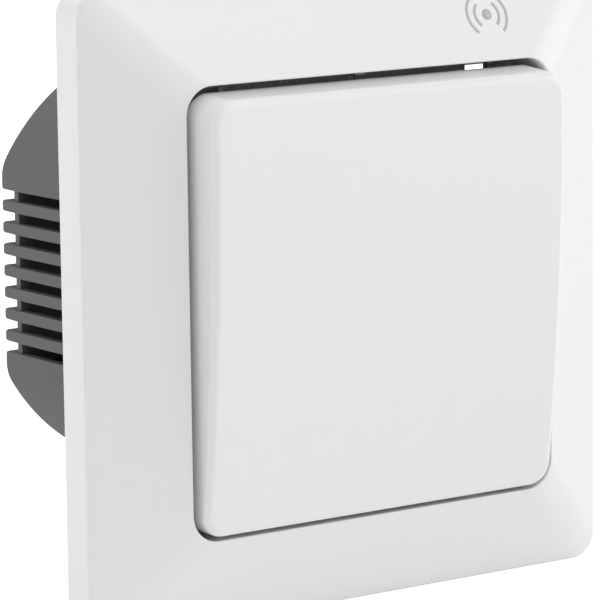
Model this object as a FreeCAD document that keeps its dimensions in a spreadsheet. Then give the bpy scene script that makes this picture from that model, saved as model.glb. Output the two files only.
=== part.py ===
import FreeCAD, Part
import os
import re
from math import pi

import Sketcher
from FreeCAD import Placement, Rotation, Vector

# Wireless wall switch: a square frame and a tilting rocker on a flush insert.
# X runs right, Z up and Y into the wall. The wall plane is Y = 0, the origin is the frame's centre.
# Sizes in millimetres, angles in degrees.

SIZES = {
    # Cover frame
    "frame_border": 12.0,
    "frame_corner": 3.4,
    "frame_wall": 2.0,
    "frame_skin": 2.2,
    "frame_depth": 10.5,
    "rim_depth": 4.8,
    "rim_round": 0.6,
    "hollow_corner": 2.0,
    "opening_width": 56.5,
    "opening_corner": 3.7,
    "opening_round": 0.35,
    "collar_wall": 1.7,
    "collar_rear": 2.5,
    "lip_width": 1.1,
    "lip_thick": 1.0,
    "lug_width": 1.6,
    "lug_rise": 1.4,
    "lug_offset": 1.9,
    # Rocker cap
    "rocker_gap": 0.8,
    "rocker_corner": 3.4,
    "rocker_draft": 0.2,
    "rocker_wall": 1.6,
    "rocker_round": 1.0,
    "crown_radius": 330.0,
    "crown_front": 8.0,
    "crown_cut_reach": 12.0,
    "cap_floor": 5.7,
    "skirt_rear": 1.0,
    "hook_width": 3.6,
    "hook_thick": 1.4,
    "hook_barb": 0.5,
    "hook_spread": 12.0,
    "hook_offset": 7.0,
    "post_radius": 2.0,
    "post_spread": 12.5,
    "rib_thick": 1.2,
    "rib_rise": 2.8,
    "rib_spread": 18.5,
    # Rocker cradle and its tilt
    "pivot_depth": 6.2,
    "rest_tilt": 3.7,
    "cradle_height": 31.0,
    "cradle_corner": 3.0,
    "cradle_thick": 1.8,
    "cradle_front": 4.0,
    "cheek_thick": 2.2,
    "cheek_radius": 1.8,
    "pin_radius": 1.5,
    "pin_length": 3.2,
    "pusher_spread": 8.6,
    "pusher_reach": 0.9,
    "pusher_width": 4.4,
    "pusher_round": 1.0,
    "spigot_radius": 1.3,
    "spigot_length": 1.6,
    # Retaining ring
    "ring_band": 3.65,
    "ring_thick": 1.1,
    "ring_corner": 3.2,
    "leg_width": 5.0,
    "leg_thick": 1.2,
    "leg_offset": 10.0,
    "leg_barb": 0.5,
    "window_start": 18.9,
    "window_width": 3.7,
    "window_height": 2.3,
    # Support plate
    "plate_border": 7.05,
    "plate_thick": 1.0,
    "plate_corner": 5.0,
    "plate_opening": 30.0,
    "plate_opening_width": 20.0,
    "plate_opening_corner": 2.0,
    "box_screw_pitch": 60.0,
    "box_slot_width": 4.2,
    "box_slot_length": 7.0,
    "corner_window": 7.0,
    "corner_window_start": 20.8,
    "corner_window_foot": 24.6,
    "corner_window_rise": 4.2,
    # Front housing
    "block_gap": 0.9,
    "block_corner": 6.0,
    "block_front": 4.2,
    "lug_inset": 1.6,
    "lug_thick": 2.8,
    "lug_half": 3.4,
    "lug_front": 2.4,
    "spring_seat": 2.0,
    "spring_radius": 2.1,
    "spring_wire": 0.25,
    "spring_turns": 4.5,
    # Rear housing
    "flat_rise": 3.5,
    "insert_wall": 1.3,
    "insert_blend": 5.0,
    "insert_round": 0.7,
    "rib_depth": 2.45,
    "rib_floor_thick": 1.25,
    "rib_recess": 0.5,
    "slot_pitch": 2.89,
    "slot_height": 1.41,
    "slot_count": 8,
    "slot_front": 9.0,
    "boss_inset": 7.2,
    "boss_radius": 2.7,
    "boss_middle": 3.3,
    "boss_foot": 3.9,
    "pilot_radius": 1.05,
    "pilot_depth": 13.0,
    # Housing screws
    "screw_radius": 1.0,
    "screw_length": 12.0,
    "head_radius": 2.1,
    "head_height": 1.4,
    "recess_width": 0.7,
    "recess_share": 0.6,
    # Boards
    "board_thick": 1.2,
    "board_gap": 0.4,
    "control_seat": 3.2,
    "board_room": 17.45,
    "power_thick": 1.6,
    # Push switches
    "switch_width": 6.4,
    "switch_front": 2.3,
    "plunger_radius": 1.7,
    "plunger_length": 6.1,
    "plunger_round": 0.3,
    "well_floor": 0.25,
    # Clearances
    "seat_gap": 0.1,
    "fit_gap": 0.05,
    "ring_gap": 0.25,
    "part_gap": 0.3,
    # Laps of joined forms, and how far a cutting form passes a face
    "lap": 0.2,
    "over": 1.0,
    # Radio parts on the control board
    "radio_width": 16.0,
    "radio_height": 12.0,
    "radio_inset": 17.35,
    "radio_board": 0.8,
    "radio_margin": 1.0,
    "shield_width": 11.0,
    "shield_height": 8.6,
    "shield_rise": 2.0,
    "chip_width": 7.0,
    "chip_rise": 1.4,
    "mark_inset": 1.2,
    "mark_radius": 0.4,
    "mark_depth": 0.2,
    "antenna_wire": 0.4,
    "antenna_rise": 3.5,
    "antenna_bend": 1.6,
    "antenna_run": 12.4,
    "header_length": 12.4,
    "header_width": 2.5,
    "header_inset": 8.65,
    "header_strip": 2.5,
    "header_pin": 0.32,
    "header_pitch": 2.5,
    "header_pins": 5,
    # Power board parts
    "part_round": 0.4,
    "relay_gap": 2.95,
    "relay_width": 19.0,
    "relay_height": 10.2,
    "relay_rise": 12.6,
    "film_gap": 2.3,
    "film_width": 13.0,
    "film_height": 6.0,
    "film_rise": 11.0,
    "core_gap": 4.2,
    "core_at_z": 2.2,
    "core_width": 13.0,
    "core_rise": 10.6,
    "core_thick": 4.6,
    "core_leg": 2.8,
    "bobbin_height": 9.4,
    "can_gap_x": 7.5,
    "can_gap_z": 2.5,
    "can_radius": 4.0,
    "can_rise": 12.0,
    "can_groove": 0.5,
    "varistor_gap": 5.45,
    "varistor_at_z": -9.5,
    "varistor_radius": 4.6,
    "varistor_thick": 3.4,
    "varistor_lead": 2.2,
    "fuse_gap": 7.1,
    "fuse_at_z": 14.4,
    "fuse_radius": 2.2,
    "fuse_rise": 7.0,
    # Terminals
    "pole_pitch": 5.0,
    "pole_count": 4,
    "terminal_height": 10.4,
    "terminal_inset": 5.25,
    "terminal_floor": 2.9,
    "terminal_wall": 0.6,
    "entry_radius": 1.6,
    "terminal_screw": 1.5,
    "terminal_head": 1.9,
    "terminal_cap": 1.6,
    "tip_gap": 0.7,
    "terminal_sink": 1.2,
    "clamp_length": 5.0,
    "clamp_gap": 3.7,
    "clamp_wall": 0.7,
}

# Sizes that follow from what a piece fits into, seats on or stands behind

FITS = {
    "frame_width": "opening_width + 2 * frame_border",
    "rocker_width": "opening_width - 2 * rocker_gap",
    "ring_inner": "opening_width - 2 * ring_band",
    "plate_width": "opening_width + 2 * plate_border",
    "block_width": "ring_inner - 2 * block_gap",
    "cradle_width": "block_width - 2 * (lug_inset + lug_thick + part_gap)",
    "insert_flat": "opening_width - 2 * (lip_width + leg_thick + 2 * part_gap)",
    "insert_radius": "insert_flat / 2 + flat_rise",
    "insert_depth": "terminal_rear + board_gap + insert_wall",
    "rib_floor": "insert_depth - rib_depth",
    "power_seat": "control_seat + board_room + power_thick",
    "entry_depth": "power_seat + terminal_floor + clamp_length / 2",
    "head_seat": "entry_depth + clamp_length / 2 + clamp_gap",
    "terminal_rear": "head_seat + terminal_cap + terminal_sink",
    "terminal_shank": "head_seat - entry_depth - tip_gap",
    "terminal_foot": "insert_radius - terminal_inset",
    "boss_spread": "block_width / 2 - boss_inset",
    "radio_foot": "insert_radius - radio_inset",
    "header_foot": "header_inset - insert_radius",
    "relay_at": "relay_gap + insert_wall + relay_width / 2 - insert_flat / 2",
    "core_at_x": "relay_at + relay_width / 2 + core_gap + core_width / 2",
    "film_at": "-relay_height / 2 - film_gap - film_height / 2",
    "can_at_x": "can_gap_x + can_radius - boss_spread",
    "can_at_z": "relay_height / 2 + can_gap_z + can_radius",
    "fuse_at_x": "boss_spread - fuse_gap - fuse_radius",
    "varistor_at_x": "insert_flat / 2 - insert_wall - varistor_gap - varistor_radius",
}

doc = FreeCAD.newDocument("wireless_wall_switch")
sheet = doc.addObject("Spreadsheet::Sheet", "Sizes")
for row, (alias, number) in enumerate(SIZES.items(), start=1):
    sheet.set(f"A{row}", alias)
    sheet.set(f"B{row}", str(number))
    sheet.setAlias(f"B{row}", alias)
doc.recompute()

SUB_PARTS = []
ALONG_X = Rotation(Vector(0, 1, 0), 90)
ALONG_Y = Rotation(Vector(1, 0, 0), -90)
ALONG_Z = Rotation()


# Helpers: each writes its sizes as expressions on the sheet

def bound(text):
    """The expression with each size turned into its cell, and each fitted size into its formula."""
    def term(match):
        word = match[0]
        if word in FITS:
            return f"({bound(FITS[word])})"
        return f"Sizes.{word}" if word in SIZES else word
    return re.sub(r"[a-z_]+", term, str(text))


def bind(item, **expressions):
    """Bind properties of an object to expressions; two underscores stand for a dot."""
    for key, text in expressions.items():
        item.setExpression(key.replace("__", "."), bound(text))
    return item


def place(item, corner, turn=ALONG_Z):
    """Put an object at a corner given as three expressions."""
    item.Placement = Placement(Vector(), turn)
    x, y, z = corner
    return bind(item, Placement__Base__x=x, Placement__Base__y=y, Placement__Base__z=z)


def sub_part(item, label):
    """Keep an object as a finished sub-part under its node name."""
    item.Label = label
    SUB_PARTS.append(item)
    return item


def origin_feature(body, role):
    return next(f for f in body.Origin.OriginFeatures if f.Role == role)


def new_body(label):
    return sub_part(doc.addObject("PartDesign::Body", f"Body_{label}"), label)


def rounded_sketch(body, name, depth, loops):
    """A sketch of rounded rectangles centred on the axis, depth measured towards the room."""
    sketch = body.newObject("Sketcher::SketchObject", name)
    sketch.AttachmentSupport = [(origin_feature(body, "XZ_Plane"), "")]
    sketch.MapMode = "FlatFace"
    bind(sketch, AttachmentOffset__Base__z=depth)
    for number, (wide, tall, corner) in enumerate(loops):
        rounded_rectangle(sketch, f"{number}", wide, tall, corner)
    return sketch


def rounded_rectangle(sketch, tag, wide, tall, corner):
    """Four lines and four arcs, held by tangents, a centre and three named sizes."""
    reach, inner = 10, 8
    points = [(-inner, -reach), (inner, -reach), (reach, -inner), (reach, inner),
              (inner, reach), (-inner, reach), (-reach, inner), (-reach, -inner)]
    centres = [(inner, -inner), (inner, inner), (-inner, inner), (-inner, -inner)]
    first = sketch.GeometryCount
    for side in range(4):
        start, end = points[2 * side], points[2 * side + 1]
        sketch.addGeometry(Part.LineSegment(Vector(*start, 0), Vector(*end, 0)))
        circle = Part.Circle(Vector(*centres[side], 0), Vector(0, 0, 1), reach - inner)
        turn = (side - 1) * pi / 2
        sketch.addGeometry(Part.ArcOfCircle(circle, turn, turn + pi / 2))
    for side in range(4):
        line, arc = first + 2 * side, first + 2 * side + 1
        following = first + (2 * side + 2) % 8
        sketch.addConstraint(Sketcher.Constraint("Tangent", line, 2, arc, 1))
        sketch.addConstraint(Sketcher.Constraint("Tangent", arc, 2, following, 1))
        sketch.addConstraint(Sketcher.Constraint("Horizontal" if side % 2 == 0 else "Vertical", line))
    for side in range(1, 4):
        sketch.addConstraint(Sketcher.Constraint("Equal", first + 1, first + 2 * side + 1))
    sketch.addConstraint(Sketcher.Constraint("Symmetric", first + 1, 3, first + 5, 3, -1, 1))
    for word, constraint, text in (
        ("wide", Sketcher.Constraint("DistanceX", first + 6, 1, first + 2, 1, 2 * reach), wide),
        ("tall", Sketcher.Constraint("DistanceY", first, 1, first + 4, 1, 2 * reach), tall),
        ("corner", Sketcher.Constraint("Radius", first + 1, reach - inner), corner),
    ):
        index = sketch.addConstraint(constraint)
        sketch.renameConstraint(index, word + tag)
        sketch.setExpression(f"Constraints.{word}{tag}", bound(text))


def pad(body, sketch, length, inwards=False):
    """Pad towards the room, or into the wall."""
    feature = body.newObject("PartDesign::Pad", sketch.Name + "_pad")
    feature.Profile = sketch
    feature.Reversed = inwards
    return bind(feature, Length=length)


def pocket(body, sketch, length, towards_room=False):
    """Cut from the sketch into the wall, or towards the room."""
    feature = body.newObject("PartDesign::Pocket", sketch.Name + "_pocket")
    feature.Profile = sketch
    feature.Reversed = towards_room
    return bind(feature, Length=length)


def loft(body, kind, first, second):
    feature = body.newObject(f"PartDesign::{kind}Loft", first.Name + "_loft")
    feature.Profile = first
    feature.Sections = [second]
    feature.Ruled = True
    return feature


def body_box(body, kind, name, corner, lengths):
    """A box feature of a body: kind is Additive or Subtractive."""
    feature = body.newObject(f"PartDesign::{kind}Box", name)
    length, width, height = lengths
    bind(feature, Length=length, Width=width, Height=height)
    return place(feature, corner)


def body_rod(body, kind, name, start, radius, length, turn=ALONG_Y):
    """A cylinder feature of a body, along Y unless it is turned."""
    feature = body.newObject(f"PartDesign::{kind}Cylinder", name)
    bind(feature, Radius=radius, Height=length)
    return place(feature, start, turn)


def round_edges(body, name, radius, chosen):
    """Fillet the edges of the body for which chosen(edge) is true."""
    doc.recompute()
    tip = body.Tip
    edges = [f"Edge{i}" for i, edge in enumerate(tip.Shape.Edges, start=1) if chosen(edge)]
    feature = body.newObject("PartDesign::Fillet", name)
    feature.Base = (tip, edges)
    return bind(feature, Radius=radius)


def box(name, corner, lengths):
    length, width, height = lengths
    item = bind(doc.addObject("Part::Box", name), Length=length, Width=width, Height=height)
    return place(item, corner)


def rod(name, start, radius, length, turn=ALONG_Y):
    item = bind(doc.addObject("Part::Cylinder", name), Radius=radius, Height=length)
    return place(item, start, turn)


def fuse(name, *items):
    item = doc.addObject("Part::MultiFuse", name)
    item.Shapes = list(items)
    item.Refine = True
    return item


def cut(name, base, *tools):
    item = doc.addObject("Part::Cut", name)
    item.Base = base
    item.Tool = tools[0] if len(tools) == 1 else fuse(name + "_tools", *tools)
    return item


def group(label, items):
    """Identical solids that share one node."""
    item = doc.addObject("Part::Compound", f"Group_{label}")
    item.Links = items
    return sub_part(item, label)


def soften(label, base, radius, chosen):
    """Fillet chosen edges of a Part object and keep it as a sub-part."""
    doc.recompute()
    item = doc.addObject("Part::Fillet", f"Soft_{label}")
    item.Base = base
    edges = [i for i, edge in enumerate(base.Shape.Edges, start=1) if chosen(edge)]
    item.Edges = [(i, SIZES[radius], SIZES[radius]) for i in edges]
    return sub_part(item, label)


def corner_tag(x, z):
    """Left or right, down or up, as two letters."""
    return f"{'l' if x < 0 else 'r'}{'d' if z < 0 else 'u'}"


def middle(edge):
    return edge.valueAt((edge.FirstParameter + edge.LastParameter) / 2)


def flat_at(depth):
    """Choose edges that lie in the plane Y = -depth."""
    def chosen(edge):
        return abs(edge.BoundBox.YMin + depth) < 0.01 and abs(edge.BoundBox.YMax + depth) < 0.01
    return chosen


# Cover frame: rim, four sloping facets, the opening with its collar, and the lip that is held

def cover_frame():
    body = new_body("cover_frame")
    outline = ("frame_width", "frame_width", "frame_corner")
    opening = ("opening_width", "opening_width", "opening_corner")
    collar = ("opening_width + 2 * collar_wall", "opening_width + 2 * collar_wall",
              "opening_corner + collar_wall")
    hollow = ("frame_width - 2 * frame_wall", "frame_width - 2 * frame_wall", "hollow_corner")
    slope = "(frame_depth - rim_depth) / (frame_width / 2 - opening_width / 2)"
    hollow_edge = f"rim_depth + frame_wall * {slope} - frame_skin"
    hollow_top = f"frame_depth - collar_wall * {slope} - frame_skin"
    pad(body, rounded_sketch(body, "frame_rim", "0", [outline]), "rim_depth")
    facet_foot = rounded_sketch(body, "facet_foot", "rim_depth", [outline])
    facet_top = rounded_sketch(body, "facet_top", "frame_depth", [opening])
    loft(body, "Additive", facet_foot, facet_top)
    round_edges(body, "rim_round", "rim_round", flat_at(SIZES["rim_depth"]))
    doc.recompute()
    pocket(body, rounded_sketch(body, "hollow_mouth", "0", [hollow]), hollow_edge, True)
    doc.recompute()
    hollow_foot = rounded_sketch(body, "hollow_foot", hollow_edge, [hollow])
    hollow_end = rounded_sketch(body, "hollow_end", hollow_top, [collar])
    loft(body, "Subtractive", hollow_foot, hollow_end)
    collar_ring = rounded_sketch(body, "collar_ring", "collar_rear", [collar])
    pad(body, collar_ring, f"{hollow_top} - collar_rear + lap")
    doc.recompute()
    lip_edge = ("opening_width - 2 * lip_width", "opening_width - 2 * lip_width",
                "opening_corner - lip_width")
    pocket(body, rounded_sketch(body, "lip_edge", "0", [lip_edge]), "frame_depth", True)
    doc.recompute()
    pocket(body, rounded_sketch(body, "opening", "collar_rear + lip_thick", [opening]),
           "frame_depth", True)
    for name, side in (("lug_up", 1), ("lug_down", -1)):
        edge = "opening_width / 2 - lip_width" if side > 0 else "-opening_width / 2 - lap"
        body_box(body, "Additive", name,
                 (f"{side} * lug_offset - lug_width / 2", "-collar_rear - lip_thick - lug_rise", edge),
                 ("lug_width", "lug_rise", "lip_width + lap"))
    round_edges(body, "opening_round", "opening_round", flat_at(SIZES["frame_depth"]))
    return body


# Rocker cap: a drafted, crowned shell with posts, ribs and four hooks, drawn about the pivot axis

def tilt(body):
    """Turn a piece that is drawn about the pivot axis to the rocker's rest position."""
    body.Placement = Placement(Vector(), Rotation(Vector(1, 0, 0), 1))
    return bind(body, Placement__Base__y="-pivot_depth", Placement__Rotation__Angle="rest_tilt")


def rocker_button():
    body = new_body("rocker_button")
    foot = ("rocker_width", "rocker_width", "rocker_corner")
    narrow = "rocker_width - 2 * rocker_draft"
    inside = ("rocker_width - 2 * rocker_wall", "rocker_width - 2 * rocker_wall",
              "rocker_corner - rocker_wall / 2")
    loft(body, "Additive", rounded_sketch(body, "skirt_foot", "skirt_rear", [foot]),
         rounded_sketch(body, "skirt_top", "crown_front + over", [(narrow, narrow, "rocker_corner")]))
    doc.recompute()
    crown_cut(body)
    front = min(face.CenterOfMass.y for face in body.Tip.Shape.Faces)
    face = next(f for f in body.Tip.Shape.Faces if f.CenterOfMass.y == front)
    marks = [middle(edge) for edge in face.Edges]
    round_edges(body, "face_round", "rocker_round",
                lambda edge: any(middle(edge).isEqual(mark, 0.001) for mark in marks))
    doc.recompute()
    pocket(body, rounded_sketch(body, "cap_hollow", "0", [inside]), "cap_floor", True)
    hollow = "(rocker_width / 2 - rocker_wall)"
    for name, z in (("rib_up", 1), ("rib_down", -1)):
        body_box(body, "Additive", name,
                 (f"-{hollow}", "-cap_floor - lap", f"{z} * rib_spread - rib_thick / 2"),
                 (f"2 * {hollow}", "rib_rise + lap", "rib_thick"))
    for x in (-1, 1):
        for z in (-1, 1):
            tag = corner_tag(x, z)
            body_rod(body, "Additive", "post_" + tag,
                     (f"{x} * post_spread", "-cap_floor - lap", f"{z} * post_spread"),
                     "post_radius", "cap_floor + lap - cradle_front")
            hook(body, tag, x, z)
    return tilt(body)


def crown_cut(body):
    """Trim the face to an arc of the crown radius, seen from the side."""
    sketch = body.newObject("Sketcher::SketchObject", "crown")
    sketch.AttachmentSupport = [(origin_feature(body, "YZ_Plane"), "")]
    sketch.MapMode = "FlatFace"
    arc_centre = SIZES["crown_radius"] - SIZES["crown_front"]
    for text in ("crown_radius", "crown_radius + crown_cut_reach"):
        index = sketch.addGeometry(Part.Circle(Vector(arc_centre, 0, 0), Vector(0, 0, 1), arc_centre))
        sketch.addConstraint(Sketcher.Constraint("PointOnObject", index, 3, -1))
        centre = sketch.addConstraint(Sketcher.Constraint("DistanceX", -1, 1, index, 3, arc_centre))
        sketch.renameConstraint(centre, f"centre{index}")
        sketch.setExpression(f"Constraints.centre{index}", bound("crown_radius - crown_front"))
        radius = sketch.addConstraint(Sketcher.Constraint("Radius", index, arc_centre))
        sketch.renameConstraint(radius, f"radius{index}")
        sketch.setExpression(f"Constraints.radius{index}", bound(text))
    feature = body.newObject("PartDesign::Pocket", "crown_pocket")
    feature.Profile = sketch
    feature.Midplane = True
    bind(feature, Length="2 * rocker_width")
    doc.recompute()


def hook(body, tag, x, z):
    """A leg from the cap's floor through the cradle, with a barb behind it."""
    tip = "cradle_front - cradle_thick - seat_gap"
    body_box(body, "Additive", "hook_" + tag,
             (f"{x} * hook_spread - hook_width / 2", "-cap_floor - lap",
              f"{z} * hook_offset - hook_thick / 2"),
             ("hook_width", f"cap_floor + lap - ({tip}) + hook_barb", "hook_thick"))
    side = "hook_thick / 2" if z > 0 else "-hook_thick / 2 - hook_barb"
    body_box(body, "Additive", "barb_" + tag,
             (f"{x} * hook_spread - hook_width / 2", f"-({tip})", f"{z} * hook_offset + {side}"),
             ("hook_width", "hook_barb", "hook_barb"))


# Rocker cradle: a plate with two trunnion cheeks, two pushers and the spring's spigot

def rocker_cradle():
    body = new_body("rocker_cradle")
    rear = "cradle_front - cradle_thick"
    outline = ("cradle_width", "cradle_height", "cradle_corner")
    pad(body, rounded_sketch(body, "cradle_plate", rear, [outline]), "cradle_thick")
    for x in (-1, 1):
        tag = "l" if x < 0 else "r"
        side = f"{x} * (cradle_width / 2 - cheek_thick / 2) - cheek_thick / 2"
        body_box(body, "Additive", "cheek_" + tag, (side, f"-({rear}) - lap", "-cheek_radius"),
                 ("cheek_thick", f"{rear} + lap", "2 * cheek_radius"))
        body_rod(body, "Additive", "cheek_end_" + tag, (side, "0", "0"),
                 "cheek_radius", "cheek_thick", ALONG_X)
        start = "cradle_width / 2 - lap" if x > 0 else "-cradle_width / 2 - pin_length"
        body_rod(body, "Additive", "pin_" + tag, (start, "0", "0"),
                 "pin_radius", "pin_length + lap", ALONG_X)
        for z in (-1, 1):
            barb = "0" if z > 0 else "hook_barb"
            body_box(body, "Subtractive", "hook_slot_" + corner_tag(x, z),
                     (f"{x} * hook_spread - hook_width / 2 - seat_gap", "-cradle_front - over",
                      f"{z} * hook_offset - hook_thick / 2 - seat_gap - {barb}"),
                     ("hook_width + 2 * seat_gap", "cradle_thick + 2 * over",
                      "hook_thick + hook_barb + 2 * seat_gap"))
    for z in (-1, 1):
        tag = "up" if z > 0 else "down"
        middle_z = f"{z} * pusher_spread"
        body_box(body, "Additive", "pusher_" + tag,
                 ("-pusher_width / 2", f"-({rear}) - lap", f"{middle_z} - pusher_round"),
                 ("pusher_width", f"{rear} + lap + pusher_reach - pusher_round", "2 * pusher_round"))
        body_rod(body, "Additive", "pusher_tip_" + tag,
                 ("-pusher_width / 2", "pusher_reach - pusher_round", middle_z),
                 "pusher_round", "pusher_width", ALONG_X)
    body_rod(body, "Additive", "spigot", ("0", f"-({rear}) - lap", "0"),
             "spigot_radius", "spigot_length + lap")
    return tilt(body)


# Retaining ring: holds the frame's lip against the wall, hooked into the support plate

def retaining_ring():
    body = new_body("retaining_ring")
    seat = "collar_rear + lip_thick"
    outer = "opening_width - 2 * ring_gap"
    loops = [(outer, outer, "opening_corner - ring_gap"), ("ring_inner", "ring_inner", "ring_corner")]
    pad(body, rounded_sketch(body, "ring", seat, loops), "ring_thick")
    for x in (-1, 1):
        for z in (-1, 1):
            tag = corner_tag(x, z)
            low = "window_start" if x > 0 else "-window_start - window_width"
            foot = "opening_width / 2 - window_height" if z > 0 else "-opening_width / 2 - over"
            body_box(body, "Subtractive", "window_" + tag, (low, f"-({seat}) - ring_thick - over", foot),
                     ("window_width", "ring_thick + 2 * over", "window_height + over"))
            ring_leg(body, tag, x, z)
    for name, side in (("notch_up", 1), ("notch_down", -1)):
        foot = "opening_width / 2 - lip_width - seat_gap" if side > 0 else "-opening_width / 2 - over"
        body_box(body, "Subtractive", name,
                 (f"{side} * lug_offset - lug_width / 2 - seat_gap", f"-({seat}) - ring_thick - over", foot),
                 ("lug_width + 2 * seat_gap", "ring_thick + 2 * over", "lip_width + seat_gap + over"))
    return body


def ring_leg(body, tag, x, z):
    """A leg inside the lip that passes the support plate and hooks behind it."""
    outside = "opening_width / 2 - lip_width - part_gap"
    foot = f"{z} * leg_offset - leg_width / 2"
    low = f"{outside} - leg_thick" if x > 0 else f"-({outside})"
    body_box(body, "Additive", "leg_" + tag, (low, "-collar_rear - lip_thick - lap", foot),
             ("leg_thick", "collar_rear + lip_thick + lap + seat_gap + leg_barb", "leg_width"))
    barb = f"{outside} - lap" if x > 0 else f"-({outside}) - leg_barb"
    body_box(body, "Additive", "leg_barb_" + tag, (barb, "seat_gap", foot),
             ("leg_barb + lap", "leg_barb", "leg_width"))


# Support plate: pressed steel against the wall, with slots for the box screws

def support_plate():
    body = new_body("support_plate")
    loops = [("plate_width", "plate_width", "plate_corner"),
             ("plate_opening_width", "plate_opening", "plate_opening_corner")]
    pad(body, rounded_sketch(body, "plate", "0", loops), "plate_thick")
    inside = "opening_width / 2 - lip_width - part_gap - leg_thick - seat_gap"
    for x in (-1, 1):
        body_slot(body, "l" if x < 0 else "r", f"{x} * box_screw_pitch / 2")
        for z in (-1, 1):
            tag = corner_tag(x, z)
            low = "corner_window_start" if x > 0 else "-corner_window_start - corner_window"
            foot = "corner_window_foot" if z > 0 else "-corner_window_foot - corner_window_rise"
            body_box(body, "Subtractive", "corner_" + tag, (low, "-plate_thick - over", foot),
                     ("corner_window", "plate_thick + 2 * over", "corner_window_rise"))
            side = inside if x > 0 else f"-({inside}) - leg_thick - 2 * seat_gap"
            body_box(body, "Subtractive", "leg_hole_" + tag,
                     (side, "-plate_thick - over", f"{z} * leg_offset - leg_width / 2 - seat_gap"),
                     ("leg_thick + 2 * seat_gap", "plate_thick + 2 * over", "leg_width + 2 * seat_gap"))
            body_rod(body, "Subtractive", "screw_hole_" + tag,
                     (f"{x} * boss_spread", "-plate_thick - over", f"{z} * boss_spread"),
                     "screw_radius + part_gap", "plate_thick + 2 * over")
    return body


def body_slot(body, tag, x):
    """A round-ended slot for a box screw, long along X."""
    straight = "(box_slot_length - box_slot_width)"
    front, through = "-plate_thick - over", "plate_thick + 2 * over"
    body_box(body, "Subtractive", "slot_" + tag, (f"{x} - {straight} / 2", front, "-box_slot_width / 2"),
             (straight, through, "box_slot_width"))
    for name, side in (("slot_low_", -1), ("slot_high_", 1)):
        body_rod(body, "Subtractive", name + tag, (f"{x} + {side} * {straight} / 2", front, "0"),
                 "box_slot_width / 2", through)


# Front housing: a block with the trunnion bearings, plunger bores and the spring's seat

def front_housing():
    body = new_body("front_housing")
    block = rounded_sketch(body, "block", "plate_thick", [("block_width", "block_width", "block_corner")])
    pad(body, block, "block_front - plate_thick")
    round_edges(body, "block_round", "opening_round", flat_at(SIZES["block_front"]))
    doc.recompute()
    reach = "pivot_depth + lug_front - block_front"
    for x in (-1, 1):
        tag = "l" if x < 0 else "r"
        inside = "cradle_width / 2 + part_gap"
        low = inside if x > 0 else f"-({inside}) - lug_thick"
        body_box(body, "Additive", "bearing_" + tag, (low, "-pivot_depth - lug_front", "-lug_half"),
                 ("lug_thick", f"{reach} + lap", "2 * lug_half"))
        body_rod(body, "Subtractive", "bearing_bore_" + tag, (f"{low} - over", "-pivot_depth", "0"),
                 "pin_radius + fit_gap", "lug_thick + 2 * over", ALONG_X)
        for z in (-1, 1):
            screw_seat(body, corner_tag(x, z), f"{x} * boss_spread", f"{z} * boss_spread")
    for z in (-1, 1):
        tag = "up" if z > 0 else "down"
        body_rod(body, "Subtractive", "plunger_bore_" + tag,
                 ("0", "-block_front - over", f"{z} * pusher_spread"),
                 "plunger_radius + part_gap", "block_front + over")
        body_box(body, "Subtractive", "switch_pocket_" + tag,
                 ("-switch_width / 2 - part_gap", "-switch_front - part_gap",
                  f"{z} * pusher_spread - switch_width / 2 - part_gap"),
                 ("switch_width + 2 * part_gap", "switch_front + part_gap", "switch_width + 2 * part_gap"))
    body_rod(body, "Subtractive", "spring_well", ("0", "-block_front - over", "0"),
             "spring_radius + spring_wire + part_gap", "block_front + over - spring_seat")
    return body


def screw_seat(body, tag, x, z):
    """A clearance hole with a counterbore for a housing screw."""
    body_rod(body, "Subtractive", "head_" + tag, (x, "-block_front - over", z),
             "head_radius + part_gap", "over + head_height")
    body_rod(body, "Subtractive", "shank_" + tag, (x, "-block_front - over", z),
             "screw_radius + part_gap", "block_front + over")


# Rear housing: a round cup with two flats, ventilation slots and ribs that wrap its rear face

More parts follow.
